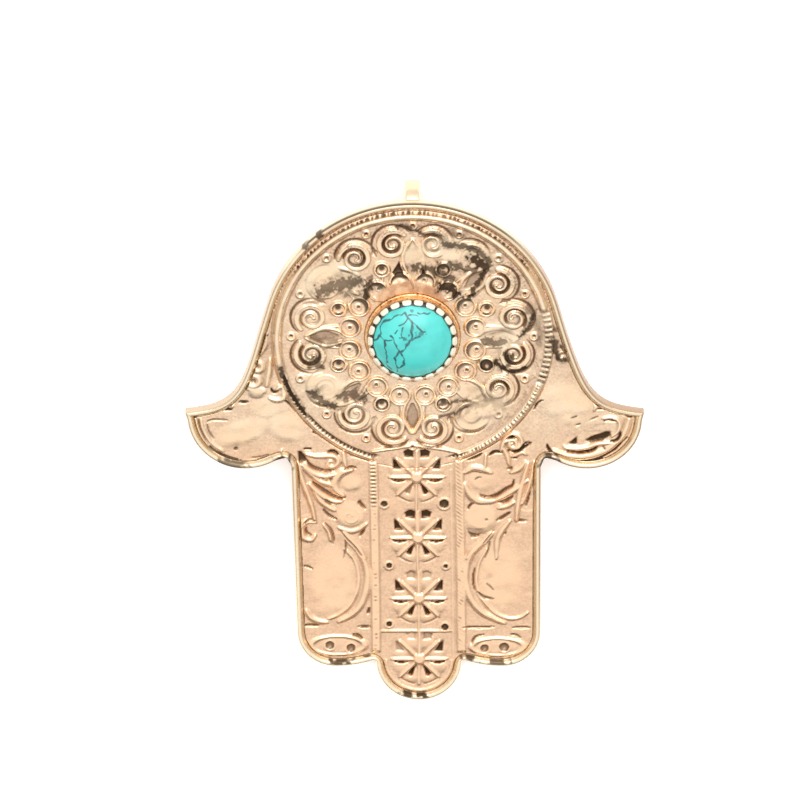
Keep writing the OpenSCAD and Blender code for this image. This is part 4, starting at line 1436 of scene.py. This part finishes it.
# The stone's veins as seen from the front: width, and path in hundredths of a millimetre.
VEINS = (
    (0.08, (-348, 274, -310, 286, -285, 295, -268, 313, -226, 335, -192, 354, -159, 375, -125, 382,
     -87, 395)),
    (0.06, (-348, 274, -377, 220, -386, 178, -382, 122, -386, 100, -361, 77, -331, 54)),
    (0.08, (-386, 104, -420, 58, -457, 8)),
    (0.1, (-331, 54, -327, -5, -319, -69, -310, -148, -306, -247)),
    (0.07, (-331, 56, -293, 62, -247, 74)),
    (0.1, (-260, 125, -243, 107, -217, 72, -196, 21, -171, -32, -142, -62)),
    (0.1, (-87, 391, -49, 350, -11, 307, -3, 261, -11, 214, -7, 156, -7, 114, -41, 78, -58, 33,
     -91, -15, -133, -66)),
    (0.08, (-3, 307, 43, 276, 77, 236, 111, 194, 153, 186)),
    (0.08, (94, 145, 43, 126, -7, 96, -41, 70)),
    (0.06, (-58, 347, -74, 313, -100, 289, -159, 261)),
    (0.07, (-112, 234, -133, 192, -129, 151, -108, 119, -58, 95)),
    (0.05, (-163, 118, -91, 118)),
    (0.06, (-209, 167, -184, 203)),
    (0.09, (-159, -59, -184, -102, -205, -167, -201, -243, -184, -299, -142, -304, -112, -253,
     -100, -185, -116, -124, -142, -77)),
    (0.08, (-184, -299, -180, -376)),
    (0.06, (-319, -275, -293, -303, -260, -357)),
    (0.05, (-49, 379, 10, 387, 69, 364)),
    (0.06, (69, 396, 128, 387, 170, 378, 212, 390)),
)
# Dark patches between the veins: place and size.
VEIN_PATCHES = ((0.9, 1.7, 0.42), (1.3, 1.85, 0.24), (0.5, 1.6, 0.26), (-0.2, 4.15, 0.26), (-1.0, 1.2, 0.24),
                (-0.6, 0.6, 0.2), (-0.4, 1.5, 0.16))


def stone():
    """The domed stone, with its veins kept as a value at each point."""
    r = np.linspace(AXIS_R, STONE_R, STONE_ROWS)
    low = CUP_Z + FLOOR_T
    corner = [(STONE_R, GIRDLE_Z - 0.06), (STONE_R, low + 0.05), (STONE_R - 0.05, low + 0.005),
              (AXIS_R, low + 0.005)]
    points, faces = lathe(np.vstack([np.column_stack([r, dome_z(r)]), corner]), STONE_COLUMNS)
    flat = points[:, :2]
    wander = np.column_stack([Waves(0.9).at(flat), Waves(0.9).at(flat)]) * 0.035
    vein = np.zeros(len(points))
    for width, path in VEINS:
        gap, _ = path_distance(flat + wander, smooth(in_mm(path, 100), 5))
        half = 1.25 * width * (0.8 + 0.35 * Waves(1.1).at(flat).clip(-1, 1))
        lift(vein, 1 - ease(gap, half * 0.6, half * 1.7))
    for x, y, size in VEIN_PATCHES:
        gap = np.hypot(flat[:, 0] - x, flat[:, 1] - y) + 0.12 * Waves(0.6).at(flat)
        lift(vein, 0.75 * (1 - ease(gap, size * 0.4, size)))
    # A dark ring of painted shade round the stone's edge, under the teeth.
    edge = ease(np.hypot(*flat.T) + 0.03 * Waves(1.2).at(flat), 4.6, 4.7)
    build = Build("vein", "edge")
    build.add(points, faces, vein=vein, edge=edge)
    return build.piece("stone")


# Materials.

class Nodes:
    """A short way to build the nodes of a material or a world."""

    def __init__(self, owner, shader="Principled BSDF"):
        owner.use_nodes = True
        self.owner, self.tree = owner, owner.node_tree
        self.shader = self.tree.nodes[shader]

    def add(self, kind, **settings):
        node = self.tree.nodes.new(kind)
        for key, value in settings.items():
            setattr(node, key, value)
        return node

    def feed(self, socket, value):
        """Give a socket a number, a colour, or another node's output."""
        if isinstance(value, bpy.types.NodeSocket):
            self.tree.links.new(value, socket)
        else:
            socket.default_value = (*value, 1) if isinstance(value, tuple) else value

    def split(self, place):
        node = self.add("ShaderNodeSeparateXYZ")
        self.feed(node.inputs[0], place)
        return node.outputs

    def position(self):
        """Object coordinates in millimetres."""
        scale = self.add("ShaderNodeMapping")
        scale.inputs["Scale"].default_value = (1 / MM,) * 3
        self.feed(scale.inputs["Vector"], self.add("ShaderNodeTexCoord").outputs["Object"])
        return scale.outputs["Vector"]

    def noise(self, place, scale, detail=2, rough=0.5):
        node = self.add("ShaderNodeTexNoise")
        for key, value in (("Vector", place), ("Scale", scale), ("Detail", detail), ("Roughness", rough)):
            self.feed(node.inputs[key], value)
        return node.outputs["Fac"]

    def value(self, name):
        return self.add("ShaderNodeAttribute", attribute_name=name).outputs["Fac"]

    def math(self, operation, a, b):
        node = self.add("ShaderNodeMath", operation=operation)
        self.feed(node.inputs[0], a)
        self.feed(node.inputs[1], b)
        return node.outputs[0]

    def times(self, a, b):
        return self.math("MULTIPLY", a, b)

    def spread(self, value, low, high, to_low=0.0, to_high=1.0):
        """The value's range from low to high, laid smoothly over another range."""
        node = self.add("ShaderNodeMapRange", interpolation_type="SMOOTHSTEP")
        for socket, number in zip(node.inputs, (value, low, high, to_low, to_high)):
            self.feed(socket, number)
        return node.outputs["Result"]

    def mix(self, share, a, b):
        node = self.add("ShaderNodeMix", data_type="RGBA")
        for k, value in ((0, share), (6, a), (7, b)):
            self.feed(node.inputs[k], value)
        return node.outputs[2]

    def bump(self, height):
        """Raise the surface by a height in millimetres."""
        node = self.add("ShaderNodeBump")
        node.inputs["Strength"].default_value = 1.0
        node.inputs["Distance"].default_value = MM
        self.feed(node.inputs["Height"], height)
        self.feed(self.shader.inputs["Normal"], node.outputs["Normal"])

    def set(self, **values):
        for key, value in values.items():
            self.feed(self.shader.inputs[key.replace("_", " ")], value)


def new_material(name):
    return Nodes(bpy.data.materials.new(name))


def cast_metal():
    """Pale rose-gold casting: polished high places, brown painted shade in the recesses, near-black painted
    shade and dark reflections, a pale painted highlight on the rim, a pitted ground.
    """
    n = new_material("cast_metal")
    place = n.position()
    ground, stain = n.value("ground"), n.value("stain")
    patches = n.spread(n.noise(place, 0.22, 3), 0.35, 0.65)
    colour = n.mix(patches, (0.95, 0.71, 0.48), (0.96, 0.77, 0.55))
    solder = n.mix(n.spread(n.noise(place, 0.9, 3, 0.6), 0.35, 0.65), (0.6, 0.32, 0.18), (0.88, 0.56, 0.34))
    grit = n.spread(n.noise(place, 3.2, 4, 0.7), 0.35, 0.65, 0.1, 0.7)
    for share, tint in (
        (n.spread(n.noise(place, 0.6, 3, 0.6), 0.5, 0.72, 0, 0.5), (0.92, 0.64, 0.5)),
        # More orange towards the fingers: a difference in light painted into the colour.
        (n.spread(n.split(place)["Y"], -5, 6, 0.75, 0), (0.96, 0.62, 0.39)),
        (n.times(ground, grit), (0.7, 0.46, 0.32)),
        (n.value("warm"), solder),
        # Pale cream painted on the rim as its highlight.
        (n.times(n.value("pale"), 0.75), (0.97, 0.84, 0.61)),
        (n.value("shade"), (0.4, 0.25, 0.16)),
        # Brown painted shade in the recesses.
        (n.spread(n.value("recess"), 0.25, 1.0, 0, 0.7), (0.36, 0.22, 0.13)),
        # Near-black painted shade and dark reflections.
        (n.times(stain, 0.96), (0.06, 0.034, 0.018)),
    ):
        colour = n.mix(share, colour, tint)
    rough = n.spread(n.noise(place, 1.1, 3), 0.3, 0.7, 0.2, 0.3)
    rough = n.math("ADD", n.math("ADD", rough, n.times(ground, 0.1)), n.times(stain, 0.3))
    swell = n.times(n.noise(place, 0.9, 3, 0.55), 0.05)
    grain = n.times(n.noise(place, 4.5, 3, 0.6), n.math("ADD", n.times(ground, 0.03), 0.004))
    n.set(Metallic=1.0, Base_Color=colour, Roughness=rough)
    n.bump(n.math("ADD", swell, grain))
    return n.owner


def setting_metal():
    """A warmer metal: grainy wall with painted shade between the teeth, and polished teeth painted pale
    cream as their highlight.
    """
    n = new_material("setting_metal")
    place = n.position()
    tooth = n.value("tooth")
    patches = n.spread(n.noise(place, 1.6, 4, 0.7), 0.35, 0.65)
    colour = n.mix(patches, (0.86, 0.5, 0.24), (0.97, 0.74, 0.46))
    spots = n.spread(n.noise(place, 1.9, 3, 0.6), 0.56, 0.64, 0, 0.8)
    colour = n.mix(spots, colour, (0.3, 0.14, 0.06))
    # Dark brown painted shade on the wall's top between the teeth.
    colour = n.mix(n.value("gap"), colour, (0.22, 0.12, 0.06))
    # The teeth painted pale cream, and less metallic, as their highlight.
    colour = n.mix(tooth, colour, (0.92, 0.82, 0.67))
    n.set(Base_Color=colour, Metallic=n.math("SUBTRACT", 1.0, n.times(tooth, 0.7)),
          Roughness=n.math("SUBTRACT", 0.3, n.times(tooth, 0.14)))
    grain = n.math("SUBTRACT", 0.06, n.times(tooth, 0.05))
    n.bump(n.times(n.noise(place, 5.0, 4, 0.7), grain))
    return n.owner


def turquoise():
    """Opaque blue-green stone with dark veins under a polish."""
    n = new_material("turquoise")
    place = n.position()
    clouds = n.spread(n.noise(place, 0.35, 3), 0.35, 0.65)
    colour = n.mix(clouds, (0.055, 0.54, 0.5), (0.075, 0.65, 0.6))
    specks = n.spread(n.noise(place, 5.0, 3, 0.6), 0.6, 0.75, 0, 0.25)
    colour = n.mix(specks, colour, (0.12, 0.82, 0.8))
    vein = n.value("vein")
    broken = n.times(vein, n.spread(n.noise(place, 2.4, 3, 0.6), 0.3, 0.6, 0.7, 1.0))
    colour = n.mix(broken, colour, (0.005, 0.07, 0.08))
    # Painted shade round the stone's edge, under the teeth.
    colour = n.mix(n.value("edge"), colour, (0.03, 0.045, 0.04))
    n.set(Base_Color=colour, Roughness=0.3, Coat_Weight=0.5, Coat_Roughness=0.3, IOR=1.55)
    n.bump(n.times(vein, -0.012))
    return n.owner


# The studio.

# The camera: its tilt in degrees, the picture's scale and size, the pixel over the stone's centre,
# and the lens and sensor.
CAMERA_TILT = 25
MM_PER_PIXEL = 0.12
IMAGE = 800
AXIS_PIXEL = (412.5, 338)
LENS = 1200
SENSOR = 36

# The soft light, in metres and watts.
KEY_PLACE = (0.05, 0.5, 0.7)
KEY_SIZE = (0.7, 0.5)
KEY_POWER = 3.0


def camera():
    """The camera, 25 degrees from the hand's normal towards its top."""
    centre = IMAGE / 2
    x = (centre - AXIS_PIXEL[0]) * MM_PER_PIXEL
    y = -(centre - AXIS_PIXEL[1]) * MM_PER_PIXEL / cos(CAMERA_TILT)
    aim = REST @ Vector((x, y, RIM_T))
    turn = REST.to_3x3().normalized()
    back = (turn @ Vector((0, sin(CAMERA_TILT), cos(CAMERA_TILT)))).normalized()
    up = (turn @ Vector((0, cos(CAMERA_TILT), -sin(CAMERA_TILT)))).normalized()
    distance = IMAGE * MM_PER_PIXEL * MM * LENS / SENSOR
    data = bpy.data.cameras.new("camera")
    data.lens, data.sensor_width = LENS, SENSOR
    data.clip_start, data.clip_end = 0.1, 20
    obj = link_object("camera", data)
    axes = Matrix((up.cross(back), up, back)).transposed().to_4x4()
    obj.matrix_world = Matrix.Translation(aim + back * distance) @ axes
    bpy.context.scene.camera = obj


def studio():
    """A bright sky that darkens towards the low -Y side, and one soft light."""
    world = bpy.data.worlds.new("studio")
    bpy.context.scene.world = world
    n = Nodes(world, "Background")
    _, back, up = n.split(n.add("ShaderNodeTexCoord").outputs["Generated"])
    sky = n.math("ADD", n.spread(up, -0.05, 0.9, 0.5, 1.12), n.spread(back, -0.2, 0.85, 0.0, 0.34))
    n.set(Color=(1, 0.99, 0.97), Strength=n.times(sky, n.spread(back, -0.97, -0.55, 0.3, 1.0)))
    light = bpy.data.lights.new("key", "AREA")
    light.shape, light.size, light.size_y = "RECTANGLE", *KEY_SIZE
    light.energy = KEY_POWER
    key = link_object("key", light)
    key.location = KEY_PLACE
    key.rotation_euler = (-Vector(KEY_PLACE)).to_track_quat("-Z", "Y").to_euler()


def floor():
    """The plain white ground."""
    size = 1.5
    mesh = bpy.data.meshes.new("floor")
    corners = [(-size, -size, 0), (size, -size, 0), (size, size, 0), (-size, size, 0)]
    mesh.from_pydata(corners, [], [(0, 1, 2, 3)])
    n = new_material("floor_white")
    n.set(Base_Color=(0.9, 0.9, 0.9), Roughness=0.9, Specular_IOR_Level=0.1,
          Emission_Color=(1, 1, 1), Emission_Strength=0.3)
    mesh.materials.append(n.owner)
    link_object("floor", mesh)


def dress(piece, material, node):
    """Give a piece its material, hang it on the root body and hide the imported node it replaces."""
    piece.data.materials.append(material)
    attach(piece, "root")
    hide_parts(node)


camera()
metal = cast_metal()
for make_piece in (hand, medallion, bail):
    dress(make_piece(), metal, "hand_plate")
dress(setting(), setting_metal(), "serrated_bezel")
dress(stone(), turquoise(), "cabochon")
floor()
studio()
bpy.context.scene.view_settings.view_transform = "Standard"
